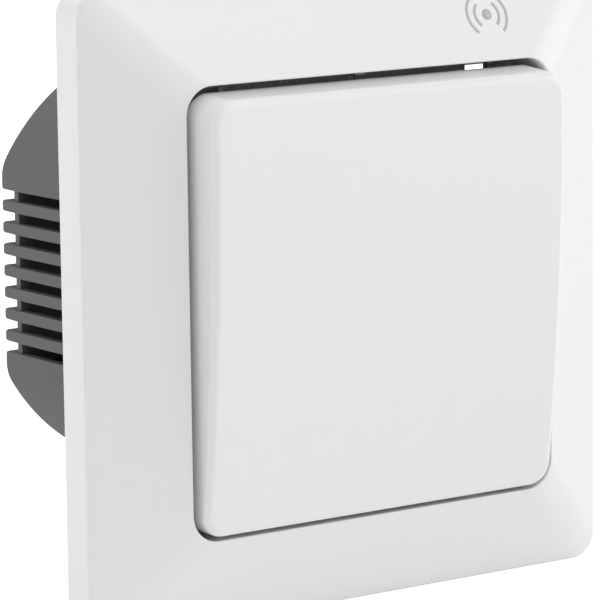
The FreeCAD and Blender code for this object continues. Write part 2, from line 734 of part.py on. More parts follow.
def insert_profile(body, name, depth, shrink, length_into_wall, kind):
    """Pad or pocket the cup's section: a circle cut by two flats, with blended corners."""
    sketch = body.newObject("Sketcher::SketchObject", name)
    sketch.AttachmentSupport = [(origin_feature(body, "XZ_Plane"), "")]
    sketch.MapMode = "FlatFace"
    bind(sketch, AttachmentOffset__Base__z=depth)
    half, blend = SIZES["opening_width"] / 2, SIZES["insert_blend"]
    radius = half + SIZES["flat_rise"]
    centre = Vector(half - blend, ((radius - blend) ** 2 - (half - blend) ** 2) ** 0.5, 0)
    turn = centre.getAngle(Vector(1, 0, 0))
    ring = Part.Circle(Vector(), Vector(0, 0, 1), radius)
    corners = [(1, 1, 0, turn), (-1, 1, pi - turn, pi), (-1, -1, pi, pi + turn), (1, -1, -turn, 0)]
    arcs = []
    for x, z, start, end in corners:
        circle = Part.Circle(Vector(x * centre.x, z * centre.y, 0), Vector(0, 0, 1), blend)
        arcs.append(sketch.addGeometry(Part.ArcOfCircle(circle, start, end)))
    top = sketch.addGeometry(Part.ArcOfCircle(ring, turn, pi - turn))
    foot = sketch.addGeometry(Part.ArcOfCircle(ring, pi + turn, 2 * pi - turn))
    right = sketch.addGeometry(Part.LineSegment(Vector(half, -centre.y, 0), Vector(half, centre.y, 0)))
    left = sketch.addGeometry(Part.LineSegment(Vector(-half, centre.y, 0), Vector(-half, -centre.y, 0)))
    joints = [(right, 2, arcs[0], 1), (arcs[0], 2, top, 1), (top, 2, arcs[1], 1), (arcs[1], 2, left, 1),
              (left, 2, arcs[2], 1), (arcs[2], 2, foot, 1), (foot, 2, arcs[3], 1), (arcs[3], 2, right, 1)]
    for joint in joints:
        sketch.addConstraint(Sketcher.Constraint("Tangent", *joint))
    for line in (right, left):
        sketch.addConstraint(Sketcher.Constraint("Vertical", line))
    for arc in (top, foot):
        sketch.addConstraint(Sketcher.Constraint("Coincident", arc, 3, -1, 1))
    for first, second in ((top, foot), (arcs[0], arcs[1]), (arcs[0], arcs[2]), (arcs[0], arcs[3])):
        sketch.addConstraint(Sketcher.Constraint("Equal", first, second))
    flat = f"insert_flat / 2 - {shrink}"
    for word, constraint, text in (
        ("ring", Sketcher.Constraint("Radius", top, radius), f"insert_radius - {shrink}"),
        ("blend", Sketcher.Constraint("Radius", arcs[0], blend), f"insert_blend - {shrink}"),
        ("right", Sketcher.Constraint("DistanceX", -1, 1, right, 1, half), flat),
        ("left", Sketcher.Constraint("DistanceX", left, 1, -1, 1, half), flat),
    ):
        index = sketch.addConstraint(constraint)
        sketch.renameConstraint(index, word)
        sketch.setExpression(f"Constraints.{word}", bound(text))
    feature = body.newObject(f"PartDesign::{kind}", name + "_feature")
    feature.Profile = sketch
    feature.Reversed = kind == "Pad"
    bind(feature, Length=length_into_wall)
    doc.recompute()
    return feature


def rear_housing():
    body = new_body("rear_housing")
    insert_profile(body, "cup", "0", "0", "insert_depth", "Pad")
    rear = body.Tip.Shape.BoundBox.YMax
    round_edges(body, "cup_round", "insert_round", flat_at(-rear))
    doc.recompute()
    insert_profile(body, "cavity", "0", "insert_wall", "insert_depth - insert_wall", "Pocket")
    field = "((slot_count - 1) * slot_pitch / 2 + slot_height / 2)"
    cavity_end = "(rib_floor - rib_floor_thick)"
    bed = "(insert_flat / 2 - insert_wall + lap)"
    body_box(body, "Additive", "rib_bed", (f"-{bed}", cavity_end, f"-{field} - insert_wall"),
             (f"2 * {bed}", f"insert_depth - insert_wall + lap - {cavity_end}",
              f"2 * {field} + 2 * insert_wall"))
    for x in (-1, 1):
        for z in (-1, 1):
            boss(body, corner_tag(x, z), x, z)
    for pole in range(int(SIZES["pole_count"])):
        x = f"({pole} - (pole_count - 1) / 2) * pole_pitch"
        body_rod(body, "Subtractive", f"screw_access_{pole}",
                 (x, "terminal_rear - over", "-terminal_foot + terminal_height / 2"),
                 "terminal_head + part_gap", "insert_depth - terminal_rear + 2 * over")
        body_rod(body, "Subtractive", f"wire_entry_{pole}", (x, "entry_depth", "-insert_radius - over"),
                 "entry_radius + part_gap", "insert_radius + over - terminal_foot", ALONG_Z)
    slots(body, field, cavity_end)
    return body


def slots(body, field, cavity_end):
    """Side slots through the flats, a shallow recess behind them, and grooves across the rear."""
    cuts = {
        "side_slot": ("slot_front", f"{cavity_end} - slot_front", "insert_flat", "insert_flat / 2"),
        "rear_groove": ("rib_floor", "insert_depth - rib_floor + over", "insert_flat + 2 * over",
                        "insert_flat / 2 + over"),
    }
    for name, (start, length, wide, half) in cuts.items():
        feature = body_box(body, "Subtractive", name, (f"-({half})", start, f"-{field}"),
                           (wide, length, "slot_height"))
        repeat(body, name, feature)
    for x in (-1, 1):
        low = "insert_flat / 2 - rib_recess" if x > 0 else "-insert_flat / 2 - over"
        name = "recess_l" if x < 0 else "recess_r"
        feature = body_box(body, "Subtractive", name, (low, f"{cavity_end} - lap", f"-{field}"),
                           ("rib_recess + over", "insert_depth - rib_floor + rib_floor_thick + over",
                            "slot_height"))
        repeat(body, name, feature)


def repeat(body, name, feature):
    """Repeat a slot upwards at the slot pitch."""
    doc.recompute()
    pattern = body.newObject("PartDesign::LinearPattern", name + "_pattern")
    pattern.Originals = [feature]
    pattern.Direction = (origin_feature(body, "Z_Axis"), [""])
    bind(pattern, Length="(slot_count - 1) * slot_pitch", Occurrences="slot_count")
    body.Tip = pattern
    doc.recompute()


def boss(body, tag, x, z):
    """A stepped screw boss whose shoulders carry the two boards."""
    at_x, at_z = f"{x} * boss_spread", f"{z} * boss_spread"
    end = "insert_depth - insert_wall + lap"
    steps = (("foot", "power_seat", "boss_foot"), ("middle", "control_seat", "boss_middle"),
             ("top", "0", "boss_radius"))
    for name, start, radius in steps:
        body_rod(body, "Additive", f"boss_{name}_{tag}", (at_x, start, at_z), radius, f"{end} - {start}")
    body_rod(body, "Subtractive", f"pilot_{tag}", (at_x, "-over", at_z), "pilot_radius", "pilot_depth + over")


# Screws, springs and plungers

def screw(name, x, z, seat, radii, lengths, inwards=True):
    """A screw along Y whose head rests at seat, with a cross recess; its shank points either way."""
    radius, head = radii
    length, height = lengths
    shank = rod(name + "_shank", (x, seat if inwards else f"{seat} - {length}", z), radius, length)
    under = f"{seat} - {height}" if inwards else seat
    cap = rod(name + "_head", (x, under, z), head, height)
    deep, reach = f"{height} * recess_share", f"{head} * recess_share"
    front = f"{seat} - {height}" if inwards else f"{seat} + {height} - {deep}"
    across = box(name + "_across", (f"{x} - {reach}", front, f"{z} - recess_width / 2"),
                 (f"2 * {reach}", deep, "recess_width"))
    along = box(name + "_along", (f"{x} - recess_width / 2", front, f"{z} - {reach}"),
                ("recess_width", deep, f"2 * {reach}"))
    return cut(name, fuse(name + "_blank", shank, cap), across, along)


def housing_screws():
    seat = "-block_front + head_height"
    items = []
    for x in (-1, 1):
        for z in (-1, 1):
            items.append(screw(f"housing_screw_{len(items)}", f"{x} * boss_spread", f"{z} * boss_spread",
                               seat, ("screw_radius", "head_radius"), ("screw_length", "head_height")))
    return group("housing_screws", items)


def toggle_spring():
    """A compression spring from the block's well to the cradle: a wire swept along a helix."""
    seat = "spring_seat + spring_wire"
    front = "pivot_depth + cradle_front - cradle_thick - spring_wire - part_gap"
    rise = f"{front} - ({seat})"
    line = doc.addObject("Part::Helix", "Spring_line")
    bind(line, Radius="spring_radius", Height=rise, Pitch=f"({rise}) / spring_turns")
    wire = bind(doc.addObject("Part::Circle", "Spring_wire"), Radius="spring_wire")
    place(wire, ("spring_radius", "0", "0"), Rotation(Vector(1, 0, 0), 90))
    doc.recompute()
    spring = doc.addObject("Part::Sweep", "Spring")
    spring.Sections = [wire]
    spring.Spine = (line, [f"Edge{i}" for i in range(1, len(line.Shape.Edges) + 1)])
    spring.Solid = True
    spring.Frenet = True
    return sub_part(place(spring, ("0", f"-({front})", "0"), ALONG_Y), "toggle_spring")


def plunger(label, z, pressed):
    """A plunger that follows its pusher; both stand where the rest tilt puts them."""
    throw = f"pusher_spread * sin(rest_tilt * 1 deg) * {1 if pressed else -1}"
    tip = f"-pivot_depth + pusher_reach + seat_gap / 2 + {throw}"
    blank = rod(label + "_blank", ("0", tip, f"{z} * pusher_spread"), "plunger_radius", "plunger_length")
    doc.recompute()
    front = min(edge.BoundBox.YMin for edge in blank.Shape.Edges)
    return soften(label, blank, "plunger_round", flat_at(-front))


def push_switch(label, z):
    """A switch body on the control board with the plunger's well."""
    rear = "control_seat - board_thick"
    block = box(label + "_block",
                ("-switch_width / 2", "-switch_front", f"{z} * pusher_spread - switch_width / 2"),
                ("switch_width", f"switch_front + {rear}", "switch_width"))
    neck = rod(label + "_well", ("0", "-switch_front - over", f"{z} * pusher_spread"),
               "plunger_radius + fit_gap", f"switch_front + over + {rear} - well_floor")
    return sub_part(cut("Cut_" + label, block, neck), label)


# Boards and what stands on them

def board(label, seat, thick, radius, notch):
    """A round board with two flats, open at its edge round the four bosses."""
    disc = rod(label + "_disc", ("0", f"{seat} - {thick}", "0"), radius, thick)
    half = "(insert_flat / 2 - insert_wall - board_gap)"
    flats = box(label + "_flats", (f"-{half}", f"{seat} - {thick}", "-insert_radius"),
                (f"2 * {half}", thick, "2 * insert_radius"))
    common = doc.addObject("Part::MultiCommon", label + "_outline")
    common.Shapes = [disc, flats]
    holes = []
    for x in (-1, 1):
        for z in (-1, 1):
            start = (f"{x} * boss_spread", f"{seat} - {thick} - over", f"{z} * boss_spread")
            holes.append(rod(f"{label}_notch_{len(holes)}", start, notch, f"{thick} + 2 * over"))
    return sub_part(cut("Cut_" + label, common, *holes), label)


def boards():
    inner = "insert_radius - insert_wall - board_gap"
    board("control_board", "control_seat", "board_thick", inner, "boss_radius + seat_gap")
    board("power_board", "power_seat", "power_thick", inner, "boss_middle + seat_gap")


def radio_parts():
    """Radio module, its shield, its antenna and the control chip on the control board's rear."""
    seat = "control_seat"
    low = ("-radio_width / 2", seat, "radio_foot")
    sub_part(box("Radio_board", low, ("radio_width", "radio_board", "radio_height")), "radio_module")
    shield = box("Shield",
                 ("-radio_width / 2 + radio_margin", f"{seat} + radio_board", "radio_foot + radio_margin"),
                 ("shield_width", "shield_rise", "shield_height"))
    soften("radio_shield", shield, "part_round", upright)
    low = ("-chip_width / 2", seat, "-chip_width / 2")
    chip = box("Chip", low, ("chip_width", "chip_rise", "chip_width"))
    dot = ("-chip_width / 2 + mark_inset", f"{seat} + chip_rise - mark_depth", "chip_width / 2 - mark_inset")
    mark = rod("Chip_mark", dot, "mark_radius", "mark_depth + over")
    sub_part(cut("Cut_chip", chip, mark), "control_chip")


def upright(edge):
    """Edges that stand off a board."""
    return edge.BoundBox.YLength > 1


def antenna():
    """A bent wire: a stub off the radio module, a quarter bend and a run above the shield."""
    foot = "control_seat + radio_board"
    at_x = "radio_width / 2 - radio_margin"
    at_z = "radio_foot + radio_height - radio_margin"
    stub = rod("Antenna_stub", (at_x, foot, at_z), "antenna_wire", "antenna_rise")
    bend = doc.addObject("Part::Torus", "Antenna_bend")
    bind(bend, Radius1="antenna_bend", Radius2="antenna_wire")
    bend.Angle3 = 90
    place(bend, (f"{at_x} - antenna_bend", f"{foot} + antenna_rise", at_z))
    start = (f"{at_x} - antenna_bend - antenna_run", f"{foot} + antenna_rise + antenna_bend", at_z)
    run = rod("Antenna_run", start, "antenna_wire", "antenna_run", ALONG_X)
    return sub_part(fuse("Antenna", stub, bend, run), "antenna")


def board_header():
    """A pin header between the boards: one strip with its pins."""
    front = "power_seat - power_thick"
    strip = box("Header_strip", ("-header_length / 2", f"{front} - header_strip", "header_foot"),
                ("header_length", "header_strip", "header_width"))
    pins = []
    for number in range(int(SIZES["header_pins"])):
        offset = f"({number} - (header_pins - 1) / 2) * header_pitch"
        corner = (f"{offset} - header_pin", "control_seat", "header_foot + header_width / 2 - header_pin")
        pins.append(box(f"Header_pin_{number}", corner,
                        ("2 * header_pin", f"{front} - control_seat", "2 * header_pin")))
    return sub_part(fuse("Header", strip, *pins), "board_header")


# Power parts: each stands on the power board's front side

def on_power_board(name, x, z, lengths):
    """A case centred at x and z on the front of the power board."""
    wide, rise, tall = lengths
    corner = (f"{x} - {wide} / 2", f"power_seat - power_thick - {rise}", f"{z} - {tall} / 2")
    return box(name, corner, (wide, rise, tall))


def power_parts():
    front = "power_seat - power_thick"
    relay = on_power_board("Relay_case", "relay_at", "0", ("relay_width", "relay_rise", "relay_height"))
    soften("relay", relay, "part_round", upright)
    film = on_power_board("Film_case", "0", "film_at", ("film_width", "film_rise", "film_height"))
    soften("film_capacitor", film, "part_round", upright)
    can = rod("Can", ("can_at_x", f"{front} - can_rise", "can_at_z"), "can_radius", "can_rise")
    groove = doc.addObject("Part::Torus", "Can_groove")
    bind(groove, Radius1="can_radius + can_groove / 2", Radius2="can_groove")
    place(groove, ("can_at_x", f"{front} - 3 * can_groove", "can_at_z"), ALONG_Y)
    sub_part(cut("Cut_can", can, groove), "smoothing_capacitor")
    start = ("varistor_at_x", f"{front} - varistor_radius - varistor_lead", "varistor_at_z")
    disc = rod("Varistor_disc", start, "varistor_radius", "varistor_thick", ALONG_Z)
    corner = ("varistor_at_x - varistor_radius / 2", f"{front} - varistor_lead - over",
              "varistor_at_z + varistor_thick / 4")
    lead = box("Varistor_leads", corner, ("varistor_radius", "varistor_lead + over", "varistor_thick / 2"))
    sub_part(fuse("Varistor", disc, lead), "varistor")
    start = ("fuse_at_x", f"{front} - fuse_rise", "fuse_at_z")
    sub_part(rod("Fuse_case", start, "fuse_radius", "fuse_rise"), "fuse")
    transformer()


def transformer():
    """An E core in the X-Y plane with its bobbin round the middle leg."""
    x, z = "core_at_x", "core_at_z"
    core = on_power_board("Core_block", x, z, ("core_width", "core_rise", "core_thick"))
    window = "((core_width - 3 * core_leg) / 2)"
    front = "power_seat - power_thick - core_rise"
    windows = []
    for side in (-1, 1):
        low = f"{x} + core_leg / 2" if side > 0 else f"{x} - core_leg / 2 - {window}"
        windows.append(box(f"Core_window_{len(windows)}", (low, f"{front} + core_leg", f"{z} - core_thick"),
                           (window, "core_rise - 2 * core_leg", "2 * core_thick")))
    sub_part(cut("Cut_core", core, *windows), "transformer_core")
    half = f"(core_leg / 2 + {window} - seat_gap)"
    wound = box("Bobbin_block",
                (f"{x} - {half}", f"{front} + core_leg + seat_gap", f"{z} - bobbin_height / 2"),
                (f"2 * {half}", "core_rise - 2 * core_leg - 2 * seat_gap", "bobbin_height"))
    hole = box("Bobbin_hole", (f"{x} - core_leg / 2 - seat_gap", front, f"{z} - core_thick / 2 - seat_gap"),
               ("core_leg + 2 * seat_gap", "core_rise", "core_thick + 2 * seat_gap"))
    sub_part(cut("Cut_bobbin", wound, hole), "transformer_bobbin")


# Terminals: a block, and for each pole a clamp cage with its screw

def terminals():
    half = "(pole_pitch * pole_count / 2 + terminal_wall)"
    block = box("Terminal_body", (f"-{half}", "power_seat", "-terminal_foot"),
                (f"2 * {half}", "terminal_rear - power_seat", "terminal_height"))
    cage = "(pole_pitch / 2 - terminal_wall / 2)"
    z = "-terminal_foot + terminal_height / 2"
    tools, cages, screws = [], [], []
    for pole in range(int(SIZES["pole_count"])):
        x = f"({pole} - (pole_count - 1) / 2) * pole_pitch"
        foot = "entry_depth - clamp_length / 2"
        tools.append(box(f"Cage_well_{pole}", (f"{x} - {cage}", foot, f"{z} - {cage}"),
                         (f"2 * {cage}", "terminal_rear", f"2 * {cage}")))
        tools.append(rod(f"Entry_{pole}", (x, "entry_depth", "-terminal_foot - over"), "entry_radius",
                         "over + terminal_height / 2", ALONG_Z))
        cages.append(clamp(pole, x, z, f"({cage} - seat_gap)"))
        screws.append(screw(f"terminal_screw_{pole}", x, z, "head_seat",
                            ("terminal_screw", "terminal_head"), ("terminal_shank", "terminal_cap"), False))
    sub_part(cut("Cut_terminals", block, *tools), "terminal_block")
    group("terminal_clamps", cages)
    group("terminal_screws", screws)


def clamp(pole, x, z, half):
    """A square tube along Z that takes the wire, with the screw's hole in its rear wall."""
    foot = "entry_depth - clamp_length / 2"
    outside = box(f"Clamp_{pole}", (f"{x} - {half}", foot, f"{z} - {half}"),
                  (f"2 * {half}", "clamp_length", f"2 * {half}"))
    inside = box(f"Clamp_room_{pole}",
                 (f"{x} - {half} + clamp_wall", f"{foot} + clamp_wall", f"{z} - {half} - over"),
                 (f"2 * {half} - 2 * clamp_wall", "clamp_length - 2 * clamp_wall", f"2 * {half} + 2 * over"))
    hole = rod(f"Clamp_hole_{pole}", (x, "entry_depth", z), "terminal_screw + fit_gap", "clamp_length")
    return cut(f"Cut_clamp_{pole}", outside, inside, hole)


def write_parts():
    """Check every object and write each sub-part to its STEP file."""
    doc.recompute()
    for item in doc.Objects:
        bad = {"Invalid", "Error"} & set(item.State)
        if bad:
            raise RuntimeError(f"{item.Name} ({item.Label}) is {bad}")
    os.makedirs("parts", exist_ok=True)
    for item in SUB_PARTS:
        shape = item.Shape
        if shape.isNull() or not shape.isValid():
            raise RuntimeError(f"{item.Label} has no valid shape")
        shape.exportStep(f"parts/{item.Label}.step")
        print(item.Label, len(shape.Solids), round(shape.Volume, 2))


cover_frame()
rocker_button()
rocker_cradle()
retaining_ring()
support_plate()
front_housing()
rear_housing()
housing_screws()
toggle_spring()
plunger("upper_plunger", 1, False)
plunger("lower_plunger", -1, True)
push_switch("upper_switch", 1)
push_switch("lower_switch", -1)
boards()
radio_parts()
antenna()
board_header()
power_parts()
terminals()
write_parts()
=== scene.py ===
"""Looks of a flush wireless wall switch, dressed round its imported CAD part.

X runs right, Z up and Y into the wall, and the wall plane is Y = 0. Sizes are in millimetres
until a mesh is made, which turns them into metres.
"""

import logging
from dataclasses import dataclass, field, replace
from enum import Enum
from math import cos, pi, radians, sin, tan

import bmesh
import bpy
import numpy as np
from mathutils import Matrix, Vector


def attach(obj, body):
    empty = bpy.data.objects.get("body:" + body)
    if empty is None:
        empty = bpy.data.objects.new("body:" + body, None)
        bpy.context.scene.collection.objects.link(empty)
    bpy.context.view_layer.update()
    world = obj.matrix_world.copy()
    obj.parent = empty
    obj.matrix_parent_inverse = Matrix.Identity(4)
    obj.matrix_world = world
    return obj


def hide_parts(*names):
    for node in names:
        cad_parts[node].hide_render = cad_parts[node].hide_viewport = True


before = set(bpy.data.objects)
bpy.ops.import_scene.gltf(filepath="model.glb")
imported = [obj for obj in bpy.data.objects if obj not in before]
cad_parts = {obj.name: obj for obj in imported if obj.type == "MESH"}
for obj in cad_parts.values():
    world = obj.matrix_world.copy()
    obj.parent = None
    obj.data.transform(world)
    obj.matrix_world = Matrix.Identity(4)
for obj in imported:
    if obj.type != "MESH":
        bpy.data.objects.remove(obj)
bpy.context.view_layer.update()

LOG = logging.getLogger("wall_switch")
MM = 0.001
SHARP = radians(35)  # the least turn at an edge that gets rounded
MIDDLE = (0.3, 0.7)  # where most of a soft noise lies
CORE = (0.35, 0.65)  # a narrower part of it, for stronger contrast
Colour = tuple[float, float, float]
Point = tuple[float, float, float]
Pair = tuple[float, float]
Socket = bpy.types.NodeSocket
Node = bpy.types.Node
Material = bpy.types.Material


class Body(Enum):
    """The bodies of the part that a piece can ride on."""

    BASE = "base"
    ROCKER = "rocker"
    UPPER = "upper_plunger_body"
    LOWER = "lower_plunger_body"


class Tone(Enum):
    """Base colours of the mouldings, metals and boards, as linear red, green and blue."""

    WHITE = (0.800, 0.805, 0.812)
    PRINT = (0.520, 0.525, 0.530)
    GRAPHITE = (0.066, 0.066, 0.069)
    # Painted light: graphite made lighter to stand for the light that reaches the retaining ring in the gaps
    # round the rocker
    GRAPHITE_PAINTED_LIGHT = (0.320, 0.320, 0.328)
    BLACK = (0.020, 0.020, 0.021)
    SWITCH = (0.050, 0.050, 0.055)
    ZINC = (0.560, 0.570, 0.580)
    STEEL = (0.480, 0.480, 0.490)
    TIN = (0.640, 0.640, 0.620)
    BRASS = (0.620, 0.470, 0.210)
    COPPER = (0.640, 0.330, 0.170)
    GREEN = (0.012, 0.105, 0.045)
    TRACK_GREEN = (0.030, 0.190, 0.085)
    BLUE = (0.010, 0.055, 0.170)
    TRACK_BLUE = (0.020, 0.105, 0.280)
    RELAY = (0.020, 0.060, 0.210)
    FILM = (0.330, 0.270, 0.090)
    SLEEVE = (0.030, 0.032, 0.070)
    VARISTOR = (0.030, 0.110, 0.290)
    FUSE = (0.140, 0.060, 0.030)
    FERRITE = (0.055, 0.055, 0.058)
    TAPE = (0.560, 0.420, 0.060)
    TERMINAL = (0.095, 0.097, 0.102)
    CERAMIC = (0.200, 0.150, 0.100)


class Recipe:
    """The node tree of a material or of the world, written a node at a time."""

    def __init__(self, owner: Material | bpy.types.World) -> None:
        """Start an empty tree in its owner."""
        self.owner = owner
        self.owner.use_nodes = True
        self.tree = owner.node_tree
        self.tree.nodes.clear()

    def add(self, kind: str, settings: dict | None = None, **sockets: object) -> Node:
        """Add a node.

        Args:
            kind: the node's type without its ShaderNode prefix.
            settings: properties of the node itself.
            sockets: inputs by name, an underscore for each space, as values, nodes or outputs.

        Returns:
            The new node.
        """
        node = self.tree.nodes.new("ShaderNode" + kind)
        for key, value in (settings or {}).items():
            setattr(node, key, value)
        for key, value in sockets.items():
            self.feed(node.inputs[key.replace("_", " ")], value)
        return node

    def feed(self, socket: Socket, value: object) -> None:
        """Give a socket a plain value, or link it to a node's first output or to an output."""
        if isinstance(value, Node):
            value = value.outputs[0]
        if isinstance(value, Socket):
            self.tree.links.new(value, socket)
        elif isinstance(value, tuple) and socket.type == "RGBA":
            socket.default_value = (*value, 1.0)
        else:
            socket.default_value = value

    def millimetres(self, stretch: Point = (1.0, 1.0, 1.0)) -> Node:
        """The surface point in millimetres, stretched along the axes."""
        place = self.add("TexCoord").outputs["Object"]
        scale = tuple(share / MM for share in stretch)
        return self.add("Mapping", Vector=place, Scale=scale)

    def noise(self, place: object, scale: float, detail: float = 2.0) -> Socket:
        """Soft noise from 0 to 1 with so many features a millimetre."""
        return self.add("TexNoise", Vector=place, Scale=scale, Detail=detail).outputs["Fac"]

    def levels(self, value: object, source: Pair, target: Pair = (0.0, 1.0)) -> Socket:
        """Carry a value from one range to another, held at both ends."""
        node = self.add("MapRange", Value=value, From_Min=source[0], From_Max=source[1],
                        To_Min=target[0], To_Max=target[1])
        return node.outputs["Result"]

    def blend(self, share: object, first: object, second: object) -> Socket:
        """Mix two colours: share 0 gives the first and share 1 the second."""
        node = self.add("Mix", {"data_type": "RGBA"})
        for index, value in ((0, share), (6, first), (7, second)):
            self.feed(node.inputs[index], value)
        return node.outputs[2]

    def maths(self, operation: str, first: object, second: object = 0.0) -> Socket:
        """One arithmetic step on two numbers."""
        node = self.add("Math", {"operation": operation})
        self.feed(node.inputs[0], first)
        self.feed(node.inputs[1], second)
        return node.outputs[0]

    def bump(self, height: object, depth: float, under: object | None = None) -> Node:
        """Surface relief from a height of 0 to 1 that stands for a depth in millimetres."""
        node = self.add("Bump", Height=height, Strength=1.0, Distance=depth * MM)
        if under is not None:
            self.feed(node.inputs["Normal"], under)
        return node

    def edges(self, reach: float, share: float) -> Socket:
        """A share close to outer edges, within a reach in millimetres, and 0 elsewhere."""
        inside = self.add("AmbientOcclusion", {"inside": True, "samples": 4, "only_local": True},
                          Distance=reach * MM).outputs["AO"]
        return self.levels(inside, (0.55, 0.95), (share, 0.0))

    def seen(self) -> Socket:
        """1 for a ray from the camera, a reflection or a transmission, else 0."""
        rays = self.add("LightPath").outputs
        return self.maths("MAXIMUM", rays["Is Camera Ray"],
                          self.maths("MAXIMUM", rays["Is Glossy Ray"], rays["Is Transmission Ray"]))

    def finish(self, **sockets: object) -> Material:
        """Close the tree with the main shader and hand out the material."""
        self.add("OutputMaterial", Surface=self.add("BsdfPrincipled", **sockets))
        return self.owner


@dataclass(frozen=True)
class Finish:
    """What every finish has: a name, a base colour, a mean roughness and a slot name.

    The slot is empty where it is left out, and None for a finish of scene.py alone; nothing in this script
    reads it.
    """

    name: str
    colour: Tone
    roughness: float
    slot: str | None = field(default="", kw_only=True)

    def material(self) -> Material:
        """The finish's material, mixed on its first use."""
        known = bpy.data.materials.get(self.name)
        return known or self.mixed(Recipe(bpy.data.materials.new(self.name)))

    def shade(self, share: float) -> Colour:
        """The base colour, lighter or darker by a share of itself."""
        return tuple(min(1.0, part * share) for part in self.colour.value)

    def around(self, spread: float) -> Pair:
        """The range of a spread round the mean roughness."""
        return self.roughness - spread, self.roughness + spread

    def clouded(self, recipe: Recipe, value: object, source: Pair, spread: float) -> Socket:
        """The base colour, from darker to lighter by a spread while a value crosses a range."""
        return recipe.blend(recipe.levels(value, source), self.shade(1 - spread), self.shade(1 + spread))

    def mixed(self, recipe: Recipe) -> Material:
        """A plain form of the finish, which each kind of finish replaces."""
        return recipe.finish(Base_Color=self.colour.value, Roughness=self.roughness)


@dataclass(frozen=True)
class Moulding(Finish):
    """Moulded plastic: fine grain, faint clouds of colour and gloss, and polished edges."""

    grain: float = 7.0
    grain_depth: float = 0.004
    cloud: float = 0.02
    gloss_spread: float = 0.05
    edge_light: float = 1.0
    edge_reach: float = 0.25
    speckle: float = 0.0

    def mixed(self, recipe: Recipe) -> Material:
        """Grain as bump and speckle, clouds in colour and roughness, and a lighter edge where handled."""
        place = recipe.millimetres()
        cloud = recipe.noise(place, 0.12, 3.0)
        colour = self.clouded(recipe, cloud, MIDDLE, self.cloud)
        if self.speckle:
            specks = recipe.levels(recipe.noise(place, self.grain * 0.7, 1.0), CORE, (0.0, self.speckle))
            colour = recipe.blend(specks, colour, self.shade(0.55))
        if self.edge_light > 1.0:
            rubbed = recipe.maths("MULTIPLY", recipe.edges(self.edge_reach, 1.0),
                                  recipe.levels(recipe.noise(place, 0.9), (0.35, 0.6), (0.4, 1.0)))
            colour = recipe.blend(rubbed, colour, self.shade(self.edge_light))
        grain = recipe.noise(place, self.grain, 4.0)
        sheen = recipe.maths("ADD", recipe.levels(cloud, MIDDLE, (-0.5, 0.5)),
                             recipe.levels(grain, MIDDLE, (-0.5, 0.5)))
        rough = recipe.levels(sheen, (-1.0, 1.0), self.around(self.gloss_spread))
        return recipe.finish(Base_Color=colour, Roughness=rough,
                             Normal=recipe.bump(grain, self.grain_depth))


@dataclass(frozen=True)
class Metal(Finish):
    """Bare or plated metal: drawn lines along one axis, plating clouds and worn edges."""

    lines: Point = (0.15, 1.0, 1.0)
    line_scale: float = 12.0
    line_depth: float = 0.002
    cloud: float = 0.10
    edge_light: float = 1.25
    edge_reach: float = 0.2

    def mixed(self, recipe: Recipe) -> Material:
        """Stretched noise as bump and gloss, broad clouds as colour, and bright edges."""
        place = recipe.millimetres()
        drawn = recipe.noise(recipe.millimetres(self.lines), self.line_scale, 3.0)
        cloud = recipe.noise(place, 0.35, 4.0)
        colour = self.clouded(recipe, cloud, CORE, self.cloud)
        colour = recipe.blend(recipe.edges(self.edge_reach, 0.8), colour, self.shade(self.edge_light))
        rough = recipe.maths("ADD", recipe.levels(drawn, MIDDLE, (-0.08, 0.08)),
                             recipe.levels(cloud, MIDDLE, self.around(0.06)))
        return recipe.finish(Base_Color=colour, Roughness=rough, Metallic=1.0,
                             Normal=recipe.bump(drawn, self.line_depth))


@dataclass(frozen=True)
class Laminate(Finish):
    """A printed board: solder mask over tracks and ground areas, with tinned via holes."""

    track: Tone = Tone.TRACK_GREEN
    pitch: float = 1.3

    def mixed(self, recipe: Recipe) -> Material:
        """Tracks are the joints of a brick pattern, and vias are dots on a loose grid."""
        turned = recipe.add("Mapping", Vector=recipe.millimetres(), Rotation=(pi / 2, 0.0, 0.0))
        bricks = recipe.add("TexBrick", {"offset": 0.37, "squash": 0.6, "squash_frequency": 3},
                            Vector=turned, Scale=1.0 / self.pitch, Mortar_Size=0.09,
                            Mortar_Smooth=0.1, Brick_Width=2.3, Row_Height=0.55).outputs["Fac"]
        region = recipe.levels(recipe.noise(turned, 0.11, 0.0), (0.47, 0.49))
        copper = recipe.maths("MAXIMUM", bricks, region)
        dots = recipe.add("TexVoronoi", Vector=turned, Scale=0.45, Randomness=0.8).outputs["Distance"]
        via = recipe.levels(dots, (0.10, 0.12), (1.0, 0.0))
        masked = recipe.blend(copper, self.colour.value, self.track.value)
        colour = recipe.blend(via, masked, Tone.TIN.value)
        rough = recipe.levels(recipe.noise(turned, 1.6), MIDDLE,
                              (self.roughness - 0.05, self.roughness + 0.08))
        relief = recipe.bump(recipe.maths("SUBTRACT", copper, via), 0.03)
        return recipe.finish(Base_Color=colour, Roughness=rough, Metallic=via, Normal=relief)


@dataclass(frozen=True)
class Banded(Finish):
    """A wound or sleeved part: bands along one axis between two shades, with a soft crease each."""

    axis: int = 1
    band: float = 1.2
    contrast: float = 0.12

    def mixed(self, recipe: Recipe) -> Material:
        """Bands from a sine of the place along the axis, their creases as bump."""
        place = recipe.millimetres()
        along = recipe.add("SeparateXYZ", Vector=place).outputs[self.axis]
        wave = recipe.maths("SINE", recipe.maths("MULTIPLY", along, 2 * pi / self.band))
        stain = recipe.noise(place, 0.8, 4.0)
        colour = self.clouded(recipe, wave, (-1.0, 1.0), self.contrast)
        rough = recipe.levels(stain, MIDDLE, self.around(0.08))
        creases = recipe.bump(wave, 0.03, recipe.bump(stain, 0.01))
        return recipe.finish(Base_Color=colour, Roughness=rough, Normal=creases)


